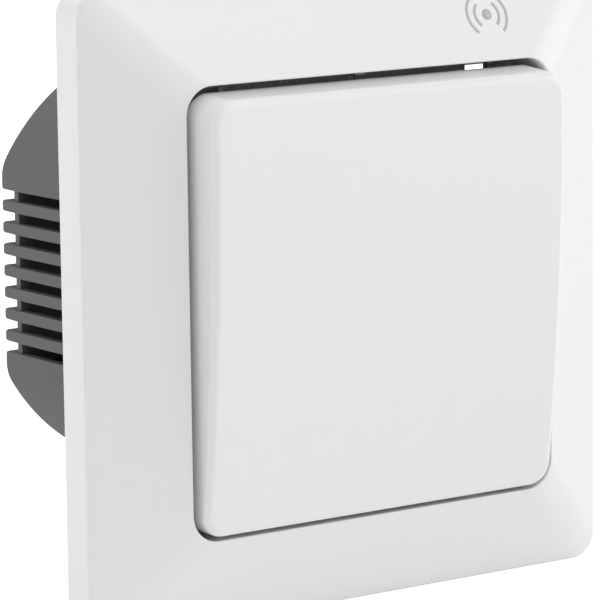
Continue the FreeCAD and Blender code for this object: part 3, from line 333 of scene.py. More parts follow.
@dataclass(frozen=True)
class Sintered(Finish):
    """Pressed or cast grains: speckled, matt and slightly pitted."""

    grain: float = 5.0
    pits: float = 0.02
    speckle: float = 0.3

    def mixed(self, recipe: Recipe) -> Material:
        """Cell noise for the grains and pits, mixed with fine noise."""
        place = recipe.millimetres()
        cells = recipe.add("TexVoronoi", Vector=place, Scale=self.grain).outputs["Distance"]
        fine = recipe.noise(place, self.grain * 2.5, 3.0)
        colour = self.clouded(recipe, fine, CORE, self.speckle)
        rough = recipe.levels(cells, (0.0, 0.8), self.around(0.1))
        return recipe.finish(Base_Color=colour, Roughness=rough,
                             Normal=recipe.bump(cells, self.pits, recipe.bump(fine, self.pits / 2)))


WHITE = Moulding("white_plastic", Tone.WHITE, 0.62, grain=5.0, grain_depth=0.0015, cloud=0.008)
PRINT = Moulding("sign_ink", Tone.PRINT, 0.5, grain=9.0, grain_depth=0.001, cloud=0.03, slot=None)
DARK = Moulding("dark_plastic", Tone.GRAPHITE, 0.55, grain=4.5, grain_depth=0.012, cloud=0.07,
                gloss_spread=0.08, edge_light=1.5, speckle=0.6)
# Painted light: the retaining ring is the same dark plastic, given a lighter grey for the light that reaches
# it through the gaps round the rocker
RING_PAINTED_LIGHT = replace(DARK, name="ring_dark_plastic_painted_light", colour=Tone.GRAPHITE_PAINTED_LIGHT, edge_light=1.2, slot="dark_plastic")
SWITCH = Moulding("switch_plastic", Tone.SWITCH, 0.48, grain=6.0, cloud=0.05, edge_light=1.5)
HEADER = Moulding("header_plastic", Tone.BLACK, 0.5, grain=6.0, cloud=0.1)
TERMINAL = Moulding("terminal_plastic", Tone.TERMINAL, 0.5, grain=4.0, grain_depth=0.008,
                    cloud=0.06, edge_light=1.5)
RELAY = Moulding("relay_case", Tone.RELAY, 0.3, grain=3.0, grain_depth=0.003, cloud=0.05, edge_light=1.3)
FILM = Moulding("film_case", Tone.FILM, 0.4, grain=3.0, grain_depth=0.006, cloud=0.08, edge_light=1.2)
FUSE = Moulding("fuse_case", Tone.FUSE, 0.4, grain=4.0, cloud=0.1)
ZINC = Metal("zinc_steel", Tone.ZINC, 0.36)
SPRING = Metal("spring_steel", Tone.STEEL, 0.28, lines=(1.0, 0.2, 1.0))
SHIELD = Metal("shield_metal", Tone.TIN, 0.3, line_depth=0.001, cloud=0.06)
SOLDER = Metal("solder", Tone.TIN, 0.22, line_depth=0.0005, cloud=0.05, slot=None)
FOIL = Metal("can_foil", Tone.TIN, 0.35, line_depth=0.001, cloud=0.05, slot=None)
BRASS = Metal("clamp_brass", Tone.BRASS, 0.34, line_depth=0.0015, cloud=0.08)
ENAMEL = Metal("antenna_wire", Tone.COPPER, 0.22, lines=(0.2, 1.0, 1.0), cloud=0.06)
BOARD = Laminate("circuit_board", Tone.GREEN, 0.38)
MODULE = Laminate("module_board", Tone.BLUE, 0.36, track=Tone.TRACK_BLUE, pitch=0.8)
SLEEVE = Banded("can_sleeve", Tone.SLEEVE, 0.32, band=6.0)
TAPE = Banded("bobbin_tape", Tone.TAPE, 0.4, axis=2, band=1.6)
COATING = Sintered("varistor_coat", Tone.VARISTOR, 0.4, grain=2.0, speckle=0.08)
FERRITE = Sintered("ferrite", Tone.FERRITE, 0.6, pits=0.03, speckle=0.25)
RESIN = Sintered("chip_resin", Tone.BLACK, 0.55, grain=9.0, pits=0.008)
CERAMIC = Sintered("ceramic", Tone.CERAMIC, 0.45, grain=8.0, pits=0.004, speckle=0.1, slot=None)


@dataclass
class Skin:
    """A closed surface: points in millimetres, four-sided faces and three-sided ones."""

    points: np.ndarray
    quads: np.ndarray
    triangles: np.ndarray = field(default_factory=lambda: np.zeros((0, 3), int))

    def moved(self, x: float = 0.0, y: float = 0.0, z: float = 0.0) -> "Skin":
        """The same skin, shifted."""
        return Skin(self.points + np.array([x, y, z]), self.quads, self.triangles)

    def turned(self, degrees: float, axis: str) -> "Skin":
        """The same skin, turned about an axis through the origin by the right-hand rule."""
        matrix = np.array(Matrix.Rotation(radians(degrees), 3, axis))
        return Skin(self.points @ matrix.T, self.quads, self.triangles)


def merged(skins: list[Skin]) -> Skin:
    """Several skins as one, each still closed by itself."""
    starts = np.cumsum([0] + [len(skin.points) for skin in skins[:-1]])
    return Skin(np.vstack([skin.points for skin in skins]),
                np.vstack([skin.quads + start for skin, start in zip(skins, starts)]),
                np.vstack([skin.triangles + start for skin, start in zip(skins, starts)]))


def soft_profile(keys: np.ndarray, radii: list[float], steps: int, closed: bool) -> np.ndarray:
    """Round a profile's corners.

    Each key with a radius becomes a circle's arc that touches both neighbours' lines. The arc is a
    quadratic curve with weight cos(turn / 2), and starts radius * tan(turn / 2) from the key.
    Columns after the first two follow along.

    Args:
        keys: one corner a row; the first two columns are the profile's plane.
        radii: each corner's radius, 0 for a sharp one.
        steps: segments in each arc.
        closed: whether the last corner joins the first.

    Returns:
        The rounded profile, one point a row.
    """
    keys = np.asarray(keys, float)
    share = np.linspace(0.0, 1.0, steps + 1)[:, None]
    rows = []
    for index, (key, radius) in enumerate(zip(keys, radii)):
        if radius == 0.0 or (not closed and index in (0, len(keys) - 1)):
            rows.append(key[None])
            continue
        before, after = (line / np.linalg.norm(line[:2])
                         for line in (keys[index - 1] - key, keys[(index + 1) % len(keys)] - key))
        turn = pi - np.arccos(np.clip(before[:2] @ after[:2], -1.0, 1.0))
        reach = radius * tan(turn / 2)
        weights = ((1 - share) ** 2, 2 * cos(turn / 2) * share * (1 - share), share ** 2)
        corners = (key + reach * before, key, key + reach * after)
        rows.append(sum(weight * corner for weight, corner in zip(weights, corners)) / sum(weights))
    return np.vstack(rows)


def square_path(arc_steps: int, side_steps: int) -> tuple[np.ndarray, np.ndarray]:
    """Where points stand round a rounded square, seen from the wall.

    Returns:
        Each point's corner signs, from -1 to 1 along the straight sides, and its outward
        direction inside the corner: a point is (half - corner) * signs + corner * direction.
    """
    turn = np.linspace(0.0, pi / 2, arc_steps + 1)
    along = np.linspace(-1.0, 1.0, side_steps + 1)[1:-1]
    signs = np.vstack([np.stack([np.ones_like(along), along], 1), np.ones((arc_steps + 1, 2))])
    outward = np.vstack([np.tile([1.0, 0.0], (len(along), 1)), np.stack([np.cos(turn), np.sin(turn)], 1)])
    quarter = np.array([[0.0, 1.0], [-1.0, 0.0]])
    turns = [np.linalg.matrix_power(quarter, count) for count in range(4)]
    return np.vstack([signs @ turned for turned in turns]), np.vstack([outward @ turned for turned in turns])


def band_faces(rows: int, columns: int, closed: bool) -> np.ndarray:
    """Four-sided faces between rows of points that each run round a loop."""
    row = np.arange(rows if closed else rows - 1)[:, None]
    column = np.arange(columns)[None, :]
    following, beside = (row + 1) % rows * columns, (column + 1) % columns
    here = row * columns
    corners = (here + column, here + beside, following + beside, following + column)
    return np.stack(corners, -1).reshape(-1, 4)


def poled(rings: np.ndarray, first: Point, last: Point) -> Skin:
    """Close loops of points, as rows x columns x 3, into a skin with a pole at either end."""
    rows, columns = rings.shape[:2]
    here = np.arange(columns)
    beside = (here + 1) % columns
    pole = np.full(columns, rows * columns)
    start = (rows - 1) * columns
    ends = np.vstack([np.stack([pole, beside, here], -1),
                      np.stack([pole + 1, start + here, start + beside], -1)])
    return Skin(np.vstack([rings.reshape(-1, 3), first, last]), band_faces(rows, columns, False), ends)


def square_rings(profile: np.ndarray, arc_steps: int, side_steps: int = 1, closed: bool = True) -> Skin:
    """Carry a profile round rounded rectangles.

    Profile columns: half width in X, depth Y, half height in Z, corner radius. A point is
    (half - corner) * signs + corner * direction in X and Z, at the profile's depth.

    Args:
        profile: one ring a row, the outside first and running so that faces point outwards.
        arc_steps: segments in each corner.
        side_steps: segments in each straight side.
        closed: whether the last ring joins the first; else both ends are closed by a pole.

    Returns:
        The closed skin.
    """
    signs, outward = square_path(arc_steps, side_steps)
    wide, deep, tall, corner = (profile[:, index:index + 1] for index in range(4))
    x = (wide - corner) * signs[:, 0] + corner * outward[:, 0]
    z = (tall - corner) * signs[:, 1] + corner * outward[:, 1]
    points = np.stack([x, np.broadcast_to(deep, x.shape), z], -1)
    if closed:
        return Skin(points.reshape(-1, 3), band_faces(*x.shape, True))
    return poled(points, (0.0, profile[0, 1], 0.0), (0.0, profile[-1, 1], 0.0))


def block(low: Point, size: Point, edge: float) -> Skin:
    """A box with rounded edges: rounded rectangles carried along a softened profile.

    Args:
        low: the lowest corner.
        size: the lengths along X, Y and Z.
        edge: the edges' radius.

    Returns:
        The closed skin.
    """
    x, y, z = (length / 2 for length in size)
    keys = [[x - edge, -y, z - edge, 0.001], [x, -y, z, edge], [x, y, z, edge],
            [x - edge, y, z - edge, 0.001]]
    profile = soft_profile(keys, [0.0, edge * 0.99, edge * 0.99, 0.0], 3, False)
    skin = square_rings(profile, arc_steps=3, closed=False)
    return skin.moved(low[0] + x, low[1] + y, low[2] + z)


def lathe(keys: list[Point], sides: int, steps: int = 3) -> Skin:
    """Turn a profile about the Y axis.

    Args:
        keys: radius, depth and edge radius of each corner, from one pole to the other.
        sides: segments round the axis.
        steps: segments in each rounded corner.

    Returns:
        The closed skin.
    """
    keys = np.array(keys, float)
    profile = soft_profile(keys[:, :2], list(keys[:, 2]), steps, False)
    rings = np.stack([profile[:, 0], profile[:, 1], profile[:, 0], profile[:, 0]], -1)
    return square_rings(rings[1:-1], arc_steps=sides // 4 - 1, closed=False)


def tube(path: np.ndarray, radius: float, sides: int) -> Skin:
    """Carry a circle along a path: centre + radius * (cos * side + sin * up), closed by poles.

    The side direction is square to the path and to the axis that the path leans on least.
    """
    run = np.gradient(path, axis=0)
    run /= np.linalg.norm(run, axis=1)[:, None]
    lean = np.eye(3)[np.argmin(np.abs(run).max(0))]
    side = np.cross(run, lean)
    side /= np.linalg.norm(side, axis=1)[:, None]
    up = np.cross(side, run)
    turn = np.linspace(0.0, 2 * pi, sides, endpoint=False)[:, None]
    rings = path[:, None] + radius * (np.cos(turn) * side[:, None] + np.sin(turn) * up[:, None])
    return poled(rings, path[0], path[-1])


def cross_depth(x: np.ndarray, z: np.ndarray, width: float, reach: float, deep: float) -> np.ndarray:
    """How deep a cross recess is at each place: deep inside either arm, with narrow sloping walls."""
    slope = width / 5
    narrow = [np.clip((width / 2 - np.abs(place)) / slope, 0, 1) for place in (x, z)]
    ended = [np.clip((reach - np.abs(place)) / slope, 0, 1) for place in (x, z)]
    return deep * np.maximum(narrow[1] * ended[0], narrow[0] * ended[1])


@dataclass(frozen=True)
class Screw:
    """A pan-head screw along Y, its head in front and its thread behind.

    Every point is (radius * cos(turn), depth, radius * sin(turn)). On the head, depth gains the
    cross recess. On the shank, radius is crest - bite * |2 * share - 1|, where share is the part
    of a pitch at depth / pitch - turn / full turn, and the bite fades out at both ends.
    """

    head: float
    head_height: float
    shank: float
    length: float
    pitch: float
    bite: float
    slot_width: float = 0.7
    slot_share: float = 0.6
    head_edge: float = 0.35
    lead: float = 0.6
    point: float = 0.25
    sides: int = 48

    def skin(self) -> Skin:
        """The closed skin, with the head's seat at depth 0."""
        turn = np.linspace(0.0, 2 * pi, self.sides, endpoint=False)[None, :]
        front, hub = -self.head_height, 0.02
        keys = np.array([(hub, front), (self.head, front), (self.head, 0.0), (self.shank, 0.0)])
        rounded = soft_profile(keys, [0.0, self.head_edge, 0.1, 0.0], 6, False)
        inner = np.linspace(hub, self.head - self.head_edge - 0.01, 26)
        head = np.vstack([np.stack([inner, np.full_like(inner, front)], -1), rounded[1:]])
        run = np.linspace(0.0, self.length, int(self.length / self.pitch * 9))[1:, None]
        radius = np.broadcast_to(head[:, :1], (len(head), self.sides))
        recess = cross_depth(radius * np.cos(turn), radius * np.sin(turn), self.slot_width,
                             self.head * self.slot_share, self.head_height * self.slot_share)
        depth = head[:, 1:] + np.where(head[:, 1:] < front + 0.01, recess, 0.0)
        share = np.mod(run / self.pitch - turn / (2 * pi), 1.0)
        fade = np.clip((self.length - run) / self.pitch, 0, 1) * np.clip(run / self.lead - 1, 0, 1)
        crest = self.shank - self.point * (run > 0.995 * self.length)
        thread = crest - self.bite * fade * np.abs(2 * share - 1)
        radius = np.vstack([radius, thread])
        depth = np.vstack([depth, np.broadcast_to(run, thread.shape)])
        points = np.stack([radius * np.cos(turn), depth, radius * np.sin(turn)], -1)
        recess_floor = self.head_height * (self.slot_share - 1)
        return poled(points, (0.0, recess_floor, 0.0), (0.0, self.length, 0.0))


def placed(name: str, data: bpy.types.ID) -> bpy.types.Object:
    """Put a new object with this data into the scene."""
    item = bpy.data.objects.new(name, data)
    bpy.context.scene.collection.objects.link(item)
    return item


def make_piece(name: str, skin: Skin, finish: Finish, replaces: tuple[str, ...] = (),
               body: Body = Body.BASE) -> None:
    """Turn a skin into a finished piece of the part, at the origin.

    Args:
        name: the piece's name.
        skin: its surface.
        finish: what it is made of.
        replaces: CAD nodes that it stands for.
        body: the body that it rides on.
    """
    mesh = bpy.data.meshes.new(name)
    mesh.from_pydata((skin.points * MM).tolist(), [], skin.quads.tolist() + skin.triangles.tolist())
    work = bmesh.new()
    work.from_mesh(mesh)
    bmesh.ops.recalc_face_normals(work, faces=work.faces)
    work.to_mesh(mesh)
    work.free()
    dress(name, mesh, finish, replaces, body)


def dress(name: str, mesh: bpy.types.Mesh, finish: Finish, replaces: tuple[str, ...],
          body: Body) -> bpy.types.Object:
    """Give a mesh its finish, smooth normals and a body; see make_piece for the arguments."""
    mesh.shade_smooth()
    mesh.materials.clear()
    mesh.materials.append(finish.material())
    piece = placed(name, mesh)
    even = piece.modifiers.new("even_normals", "WEIGHTED_NORMAL")
    even.keep_sharp = True
    even.weight = 100
    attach(piece, body.value)
    if replaces:
        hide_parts(*replaces)
    LOG.info("%s: %d faces, %s on %s", name, len(mesh.polygons), finish.name, body.value)
    return piece


def round_rear(work: bmesh.types.BMesh, depth: float, height: float, width: float) -> None:
    """Round the sharp outer edges that lie wholly behind a depth and within a height."""
    work.normal_update()
    edges = [edge for edge in work.edges if edge.is_convex and edge.calc_face_angle(0.0) > SHARP
             and min(vertex.co.y for vertex in edge.verts) > depth * MM
             and max(abs(vertex.co.z) for vertex in edge.verts) < height * MM]
    bmesh.ops.bevel(work, geom=edges, offset=width * MM, segments=3, profile=0.5, affect="EDGES",
                    clamp_overlap=False)


def soften_node(node: str, finish: Finish, body: Body, edge: float,
                rear: tuple[float, float, float] | None = None) -> None:
    """Dress a CAD node as a merged copy with soft edges, and let the copy stand for it.

    Args:
        node: the CAD node.
        finish: what it is made of.
        body: the body that it rides on.
        edge: how wide each sharp edge is rounded.
        rear: the depth behind which edges are rounder, the height that they lie within, and their width.
    """
    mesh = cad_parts[node].data.copy()
    work = bmesh.new()
    work.from_mesh(mesh)
    bmesh.ops.remove_doubles(work, verts=work.verts, dist=0.002 * MM)
    bmesh.ops.dissolve_limit(work, angle_limit=radians(0.5), verts=work.verts, edges=work.edges)
    if rear:
        round_rear(work, *rear)
    work.to_mesh(mesh)
    work.free()
    piece = dress(node + "_dressed", mesh, finish, (node,), body)
    rounding = piece.modifiers.new("soft_edges", "BEVEL")
    rounding.width = edge * MM
    rounding.segments = 2
    rounding.limit_method = "ANGLE"
    rounding.angle_limit = SHARP
    rounding.use_clamp_overlap = False
    piece.modifiers.move(1, 0)


def soften_fixed(edge: float, **finishes: Finish) -> None:
    """Dress fixed CAD nodes, each given with its finish, with edges of one width."""
    for node, finish in finishes.items():
        soften_node(node, finish, Body.BASE, edge)


@dataclass
class Cover:
    """The cover frame: rim, sloping facets, opening, collar and lip, with two lugs on the lip."""

    half: float = 40.25
    corner: float = 3.4
    depth: float = 10.5
    rim: float = 4.8
    wall: float = 2.0
    skin: float = 2.2
    opening: float = 28.25
    opening_corner: float = 3.7
    collar: float = 1.7
    collar_rear: float = 2.5
    lip: float = 1.1
    lip_thick: float = 1.0
    hollow_corner: float = 2.0
    lug_offset: float = 1.9
    lug_width: float = 1.6
    lug_rise: float = 1.4
    ink: Pair = (-0.02, 0.01)

    @property
    def slope(self) -> float:
        """How far a facet rises for each millimetre towards the opening."""
        return (self.depth - self.rim) / (self.half - self.opening)

    def build(self) -> None:
        """Sweep the frame's section round the square and add the lugs."""
        under = self.half - self.wall
        outside = self.opening + self.collar
        edge = self.opening - self.lip
        mouth = self.rim + self.wall * self.slope - self.skin
        top = self.depth - self.collar * self.slope - self.skin
        lip_front = self.collar_rear + self.lip_thick
        corners = [
            (self.half, 0.0, self.corner, 0.15),
            (self.half, -self.rim, self.corner, 0.6),
            (self.opening, -self.depth, self.opening_corner, 0.18),
            (self.opening, -lip_front, self.opening_corner, 0.1),
            (edge, -lip_front, self.opening_corner - self.lip, 0.12),
            (edge, -self.collar_rear, self.opening_corner - self.lip, 0.12),
            (outside, -self.collar_rear, self.opening_corner + self.collar, 0.12),
            (outside, -top, self.opening_corner + self.collar, 0.3),
            (under, -mouth, self.hollow_corner, 0.3),
            (under, 0.0, self.hollow_corner, 0.15),
        ]
        keys = np.array([(half, depth, half, corner) for half, depth, corner, _ in corners])
        profile = soft_profile(keys, [radius for *_, radius in corners], 6, True)
        shell = square_rings(profile, arc_steps=10)
        lugs = [block((side * self.lug_offset - self.lug_width / 2, -lip_front - self.lug_rise,
                       edge if side > 0 else -self.opening - 0.2),
                      (self.lug_width, self.lug_rise + 0.1, self.lip + 0.2), 0.15) for side in (1, -1)]
        make_piece("cover_frame_shell", merged([shell, *lugs]), WHITE, ("cover_frame",))
        self.sign()

    def sign(self) -> None:
        """A generic radio sign in pale ink on the upper facet: a dot between two pairs of arcs."""
        centre_x, centre_z, dot = 20.0, 34.0, 0.75
        front, rear = self.ink
        pieces = [self.stripe(radius, 0.42, side) for radius in (1.9, 3.1) for side in (0.0, pi)]
        pieces.append(lathe([(0, front, 0), (dot, front, 0), (dot, rear, 0), (0, rear, 0)], 32, 1))
        flat = merged(pieces)
        tilt = -np.degrees(np.arctan(self.slope))
        rise = self.rim + (self.half - centre_z) * self.slope
        make_piece("radio_sign", flat.turned(tilt, "X").moved(centre_x, -rise, centre_z), PRINT)

    def stripe(self, radius: float, width: float, side: float) -> Skin:
        """A printed arc: four corners of a thin section carried 100 degrees round a circle."""
        turn = side + np.linspace(-radians(50), radians(50), 25)[:, None]
        reach = radius + width / 2 * np.array([-1, 1, 1, -1])
        depth = np.broadcast_to(np.repeat(self.ink, 2), (len(turn), 4))
        points = np.stack([reach * np.cos(turn), depth, reach * np.sin(turn)], -1).reshape(-1, 3)
        last = (len(turn) - 1) * 4
        ends = np.array([[3, 2, 1, 0], [last, last + 1, last + 2, last + 3]])
        return Skin(points, np.vstack([band_faces(len(turn), 4, False), ends]))


@dataclass
class Rocker:
    """The tilting rocker: a crowned, drafted cap with ribs, posts and hooks, and its cradle."""

    half: float = 27.45
    corner: float = 3.0
    draft: float = 0.2
    draft_run: float = 8.0
    wall: float = 1.6
    crown: float = 330.0
    front: float = 7.999
    floor: float = 5.7
    foot: float = 1.0
    face_round: float = 1.0
    pivot_depth: float = 6.2
    rest_tilt: float = 3.7
    lap: float = 0.2

    def build(self) -> None:
        """Make the cap with its inner features, turn it to rest, and dress the cradle."""
        cap = merged([self.shell(), *self.ribs(), *self.posts(), *self.hooks()])
        make_piece("rocker_cap", cap.turned(self.rest_tilt, "X").moved(y=-self.pivot_depth), WHITE,
                   ("rocker_button",), Body.ROCKER)
        soften_node("rocker_cradle", DARK, Body.ROCKER, 0.15)

    def shell(self) -> Skin:
        """The cap's wall: rings from the face's middle over the rounded edge to the inner floor.

        A ring's depth is its profile's depth plus weight * (crown - root(crown squared - z squared)),
        with weight 1 on the face and its rounded edge, and falling to 0 at the skirt's foot.
        """
        top = self.half - self.draft * (self.front - self.foot) / self.draft_run
        soft = self.face_round + 0.3
        inside, inner_corner = self.half - self.wall, self.corner - self.wall / 2
        keys = np.array([
            (top - soft, -self.front, top - soft, self.corner - soft, 1.0),
            (top, -self.front, top, self.corner, 1.0),
            (self.half, -self.foot, self.half, self.corner, 0.0),
            (inside, -self.foot, inside, inner_corner, 0.0),
            (inside, -self.floor, inside, inner_corner, 0.0),
            (inside - soft, -self.floor, inside - soft, inner_corner - soft, 0.0),
        ])
        edge = soft_profile(keys, [0.0, self.face_round, 0.25, 0.2, 0.4, 0.0], 10, False)
        share = np.linspace(0.04, 1.0, 16)[:-1, None]
        shrink = np.where([True, False, True, True, False], share, 1.0)
        profile = np.vstack([shrink * keys[0], edge, shrink[::-1] * keys[-1]])
        skin = square_rings(profile[:, :4], arc_steps=12, side_steps=24, closed=False)
        columns = (len(skin.points) - 2) // len(profile)
        bend = np.concatenate([np.repeat(profile[:, 4], columns), [1.0, 0.0]])
        across = skin.points[:, 2]
        skin.points[:, 1] += bend * (self.crown - np.sqrt(self.crown ** 2 - across ** 2))
        return skin

    def ribs(self) -> list[Skin]:
        """Two ribs across the cap's floor."""
        span, thick, rise, spread = self.half - self.wall + 0.1, 1.2, 2.8, 18.5
        return [block((-span, -self.floor - self.lap, side * spread - thick / 2),
                      (2 * span, rise + self.lap, thick), 0.15) for side in (-1, 1)]

    def posts(self) -> list[Skin]:
        """Four round posts that rest on the cradle."""
        radius, spread, seat, foot = 2.0, 12.5, -4.0, -self.floor - self.lap
        keys = [(0, foot, 0), (radius, foot, 0), (radius, seat, 0.2), (0, seat, 0)]
        return [lathe(keys, 32).moved(x * spread, 0.0, z * spread) for x in (-1, 1) for z in (-1, 1)]

    def hooks(self) -> list[Skin]:
        """Four barbed legs that pass through the cradle."""
        wide, thick, barb, tip, foot = 3.6, 1.4, 0.5, 2.1, self.floor + self.lap
        found = []
        for x in (-12.0 - wide / 2, 12.0 - wide / 2):
            for z, out in ((-7.0, -thick / 2 - barb), (7.0, thick / 2 - 0.1)):
                found += [block((x, -foot, z - thick / 2), (wide, foot - tip + barb, thick), 0.1),
                          block((x, -tip, z + out), (wide, barb, barb + 0.1), 0.08)]
        return found


@dataclass
class Fixing:
    """What holds the switch to the wall: support plate, retaining ring and housing screws."""

    screw: Screw = Screw(2.1, 1.4, 1.0, 12.0, 0.8, 0.22)
    screw_spread: float = 16.5
    screw_seat: float = -2.8

    def build(self) -> None:
        """Dress the plate and the ring, and cut the four screws."""
        # The ring's finish is the dark plastic with painted light, lighter than the plastic really is
        soften_fixed(0.1, retaining_ring=RING_PAINTED_LIGHT, support_plate=ZINC)
        skin, spread = self.screw.skin(), self.screw_spread
        screws = [skin.turned(angle, "Y").moved(x * spread, self.screw_seat, z * spread)
                  for x, z, angle in ((-1, -1, 12), (-1, 1, 51), (1, -1, 33), (1, 1, 78))]
        make_piece("housing_screws_threaded", merged(screws), ZINC, ("housing_screws",))


@dataclass
class Insert:
    """The round insert: its two housings."""

    edge: float = 0.12
    groove_floor: float = 35.8
    fin_height: float = 14.0
    fin_edge: float = 0.32

    def build(self) -> None:
        """Dress both housings; the fins across the rear one's back are rounder."""
        soften_fixed(self.edge, front_housing=DARK)
        soften_node("rear_housing", DARK, Body.BASE, self.edge / 2,
                    rear=(self.groove_floor, self.fin_height, self.fin_edge))


@dataclass
class Switching:
    """What the rocker works: two push switches with their plungers, and the toggle spring."""

    coil: float = 2.1
    wire: float = 0.25
    turns: float = 4.5
    spring_front: float = -7.85
    spring_rear: float = -2.25

    def build(self) -> None:
        """Dress switches and plungers and wind the spring."""
        soften_fixed(0.1, upper_switch=SWITCH, lower_switch=SWITCH)
        soften_node("upper_plunger", SWITCH, Body.UPPER, 0.08)
        soften_node("lower_plunger", SWITCH, Body.LOWER, 0.08)
        make_piece("toggle_spring_wire", self.spring(), SPRING, ("toggle_spring",))

    def spring(self) -> Skin:
        """A wire along a helix: (coil * cos(turn), depth in step with the turn, -coil * sin(turn))."""
        share = np.linspace(0.0, 1.0, 220)
        turn = 2 * pi * self.turns * share
        depth = self.spring_front + (self.spring_rear - self.spring_front) * share
        path = np.stack([self.coil * np.cos(turn), depth, -self.coil * np.sin(turn)], -1)
        return tube(path, self.wire, 12)


@dataclass
class Electronics:
    """The control board with its radio parts, chip, small parts and the header between boards."""

    front: float = 2.0
    rear: float = 3.2
    part: Point = (1.6, 0.5, 0.8)
    cap: float = 0.3
    header_z: float = -18.95
    header_pitch: float = 2.5

    def build(self) -> None:
        """Dress the boards and what stands on the control board, and place the small parts."""
        soften_fixed(0.06, control_board=BOARD, power_board=BOARD, radio_module=MODULE,
                     radio_shield=SHIELD, control_chip=RESIN, board_header=HEADER)
        make_piece("antenna_wire", self.antenna(), ENAMEL, ("antenna",))
        make_piece("chip_legs", self.legs(), SOLDER)
        bodies, caps = self.small_parts()
        make_piece("small_parts", bodies, CERAMIC)
        make_piece("small_part_caps", caps, SOLDER)
        joint = solder_joint().turned(180, "X")
        joints = [joint.moved((pole - 2) * self.header_pitch, self.front, self.header_z)
                  for pole in range(5)]
        make_piece("header_joints", merged(joints), SOLDER)

    def antenna(self) -> Skin:
        """A wire off the radio module: straight up, a quarter bend and a run above the shield."""
        side, foot, up = 5.4, 4.0, 22.5
        rise, bend, run = 3.5, 1.6, 12.4
        turn = np.linspace(0.0, pi / 2, 12)
        x = np.concatenate([[bend, bend], bend * np.cos(turn), [-run / 2, -run]])
        y = np.concatenate([[-rise, -rise / 2], bend * np.sin(turn), [bend, bend]])
        return tube(np.stack([side + x, foot + rise + y, np.full_like(x, up)], -1), 0.4, 16)

    def legs(self) -> Skin:
        """Six flat legs along each side of the control chip."""
        spots = [(out, along) for out in (-4.15, 3.45) for along in np.linspace(-2.7, 2.7, 6) - 0.16]
        legs = [block((x, self.rear, z), (0.7, 0.22, 0.32), 0.06) for x, z in spots]
        return merged(legs + [block((x, self.rear, z), (0.32, 0.22, 0.7), 0.06) for z, x in spots])

    def small_parts(self) -> tuple[Skin, Skin]:
        """Ceramic parts on both sides of the control board, each with two tinned caps."""
        length, rise, width = self.part
        spots = [(x, self.front - rise, z) for x in (-18.0, -14.5, 12.9, 16.4)
                 for z in (-6.0, -3.5, -1.0, 1.5, 4.0, 6.5)]
        spots += [(x, self.rear, z) for x in (-12.0, -9.2, 7.6, 10.4)
                  for z in (-7.5, -5.2, -2.9, -0.6, 1.7, 4.0)]
        bodies = [block((x + self.cap / 2, y + 0.02, z + 0.02),
                        (length - self.cap, rise - 0.04, width - 0.04), 0.05) for x, y, z in spots]
        caps = [block((x + shift, y, z), (self.cap, rise, width), 0.06)
                for x, y, z in spots for shift in (0.0, length - self.cap)]
        return merged(bodies), merged(caps)


def solder_joint(foot: float = 0.75, pin: float = 0.28, rise: float = 0.95) -> Skin:
    """A soldered pin on a board's rear: a hollow cone round a short pin end."""
    keys = [(0, -0.02, 0), (foot, -0.02, 0), (foot * 0.72, rise * 0.22, 0.3),
            (pin * 1.15, rise * 0.72, 0.2), (pin, rise, 0.1), (0, rise, 0)]
    return lathe(keys, 16, 2)


@dataclass
class Power:
    """The power board's parts: relay, capacitors, varistor, fuse and transformer, and their joints."""

    seat: float = 22.25
    can_place: Point = (-5.0, 8.65, 11.6)
    pins: tuple[Pair, ...] = (
        (-19.6, 3.8), (-19.6, -3.8), (-16.2, 3.8), (-4.1, 3.8), (-4.1, -3.8),
        (-5.0, -10.4), (5.0, -10.4), (-6.8, 11.6), (-3.2, 11.6), (5.9, 14.4), (8.5, 14.4),
        (12.2, -7.8), (15.8, -7.8), (3.6, 5.9), (8.6, 5.9), (13.6, 5.9), (3.6, -1.5), (13.6, -1.5),
    )

    def build(self) -> None:
        """Dress the cases and wound parts, and add the can's top and the solder joints."""
        soften_fixed(0.15, relay=RELAY, film_capacitor=FILM, smoothing_capacitor=SLEEVE,
                     varistor=COATING, fuse=FUSE, transformer_core=FERRITE, transformer_bobbin=TAPE)
        x, y, z = self.can_place
        top = Screw(3.3, 0.1, 3.1, 0.02, 0.02, 0.0, slot_width=0.35, slot_share=0.75)
        make_piece("can_top", top.skin().moved(x, y + 0.06, z), FOIL)
        joints = [solder_joint().moved(x, self.seat, z) for x, z in self.pins]
        make_piece("power_joints", merged(joints), SOLDER)


@dataclass
class Terminals:
    """The terminal block with four brass clamps and their screws."""

    screw: Screw = Screw(1.9, 1.6, 1.5, 5.5, 0.7, 0.25, slot_width=0.8, slot_share=0.7)
    pitch: float = 5.0
    seat: float = 33.85
    height: float = -18.4

    def build(self) -> None:
        """Dress the block and the clamps, and set the screws with their heads to the rear."""
        soften_fixed(0.12, terminal_block=TERMINAL)
        soften_fixed(0.1, terminal_clamps=BRASS)
        skin = self.screw.skin().turned(180, "X")
        screws = [skin.turned(20 + 37 * pole, "Y").moved((pole - 1.5) * self.pitch, self.seat, self.height)
                  for pole in range(4)]
        make_piece("terminal_screws_threaded", merged(screws), ZINC, ("terminal_screws",))


@dataclass(frozen=True)
class Lamp:
    """A soft rectangular lamp that faces the object; lengths in metres and power in watts."""

    name: str
    towards: Point
    distance: float
    wide: float
    tall: float
    power: float

    def hang(self) -> None:
        """Hang the lamp in its direction from the object, unseen by the camera."""
        light = bpy.data.lights.new(self.name, "AREA")
        light.shape = "RECTANGLE"
        light.size, light.size_y = self.wide, self.tall
        light.energy = self.power
        lamp = placed(self.name, light)
        away = Vector(self.towards).normalized()
        lamp.location = away * self.distance
        lamp.rotation_mode = "QUATERNION"
        lamp.rotation_quaternion = away.to_track_quat("Z", "Y")
        lamp.visible_camera = False


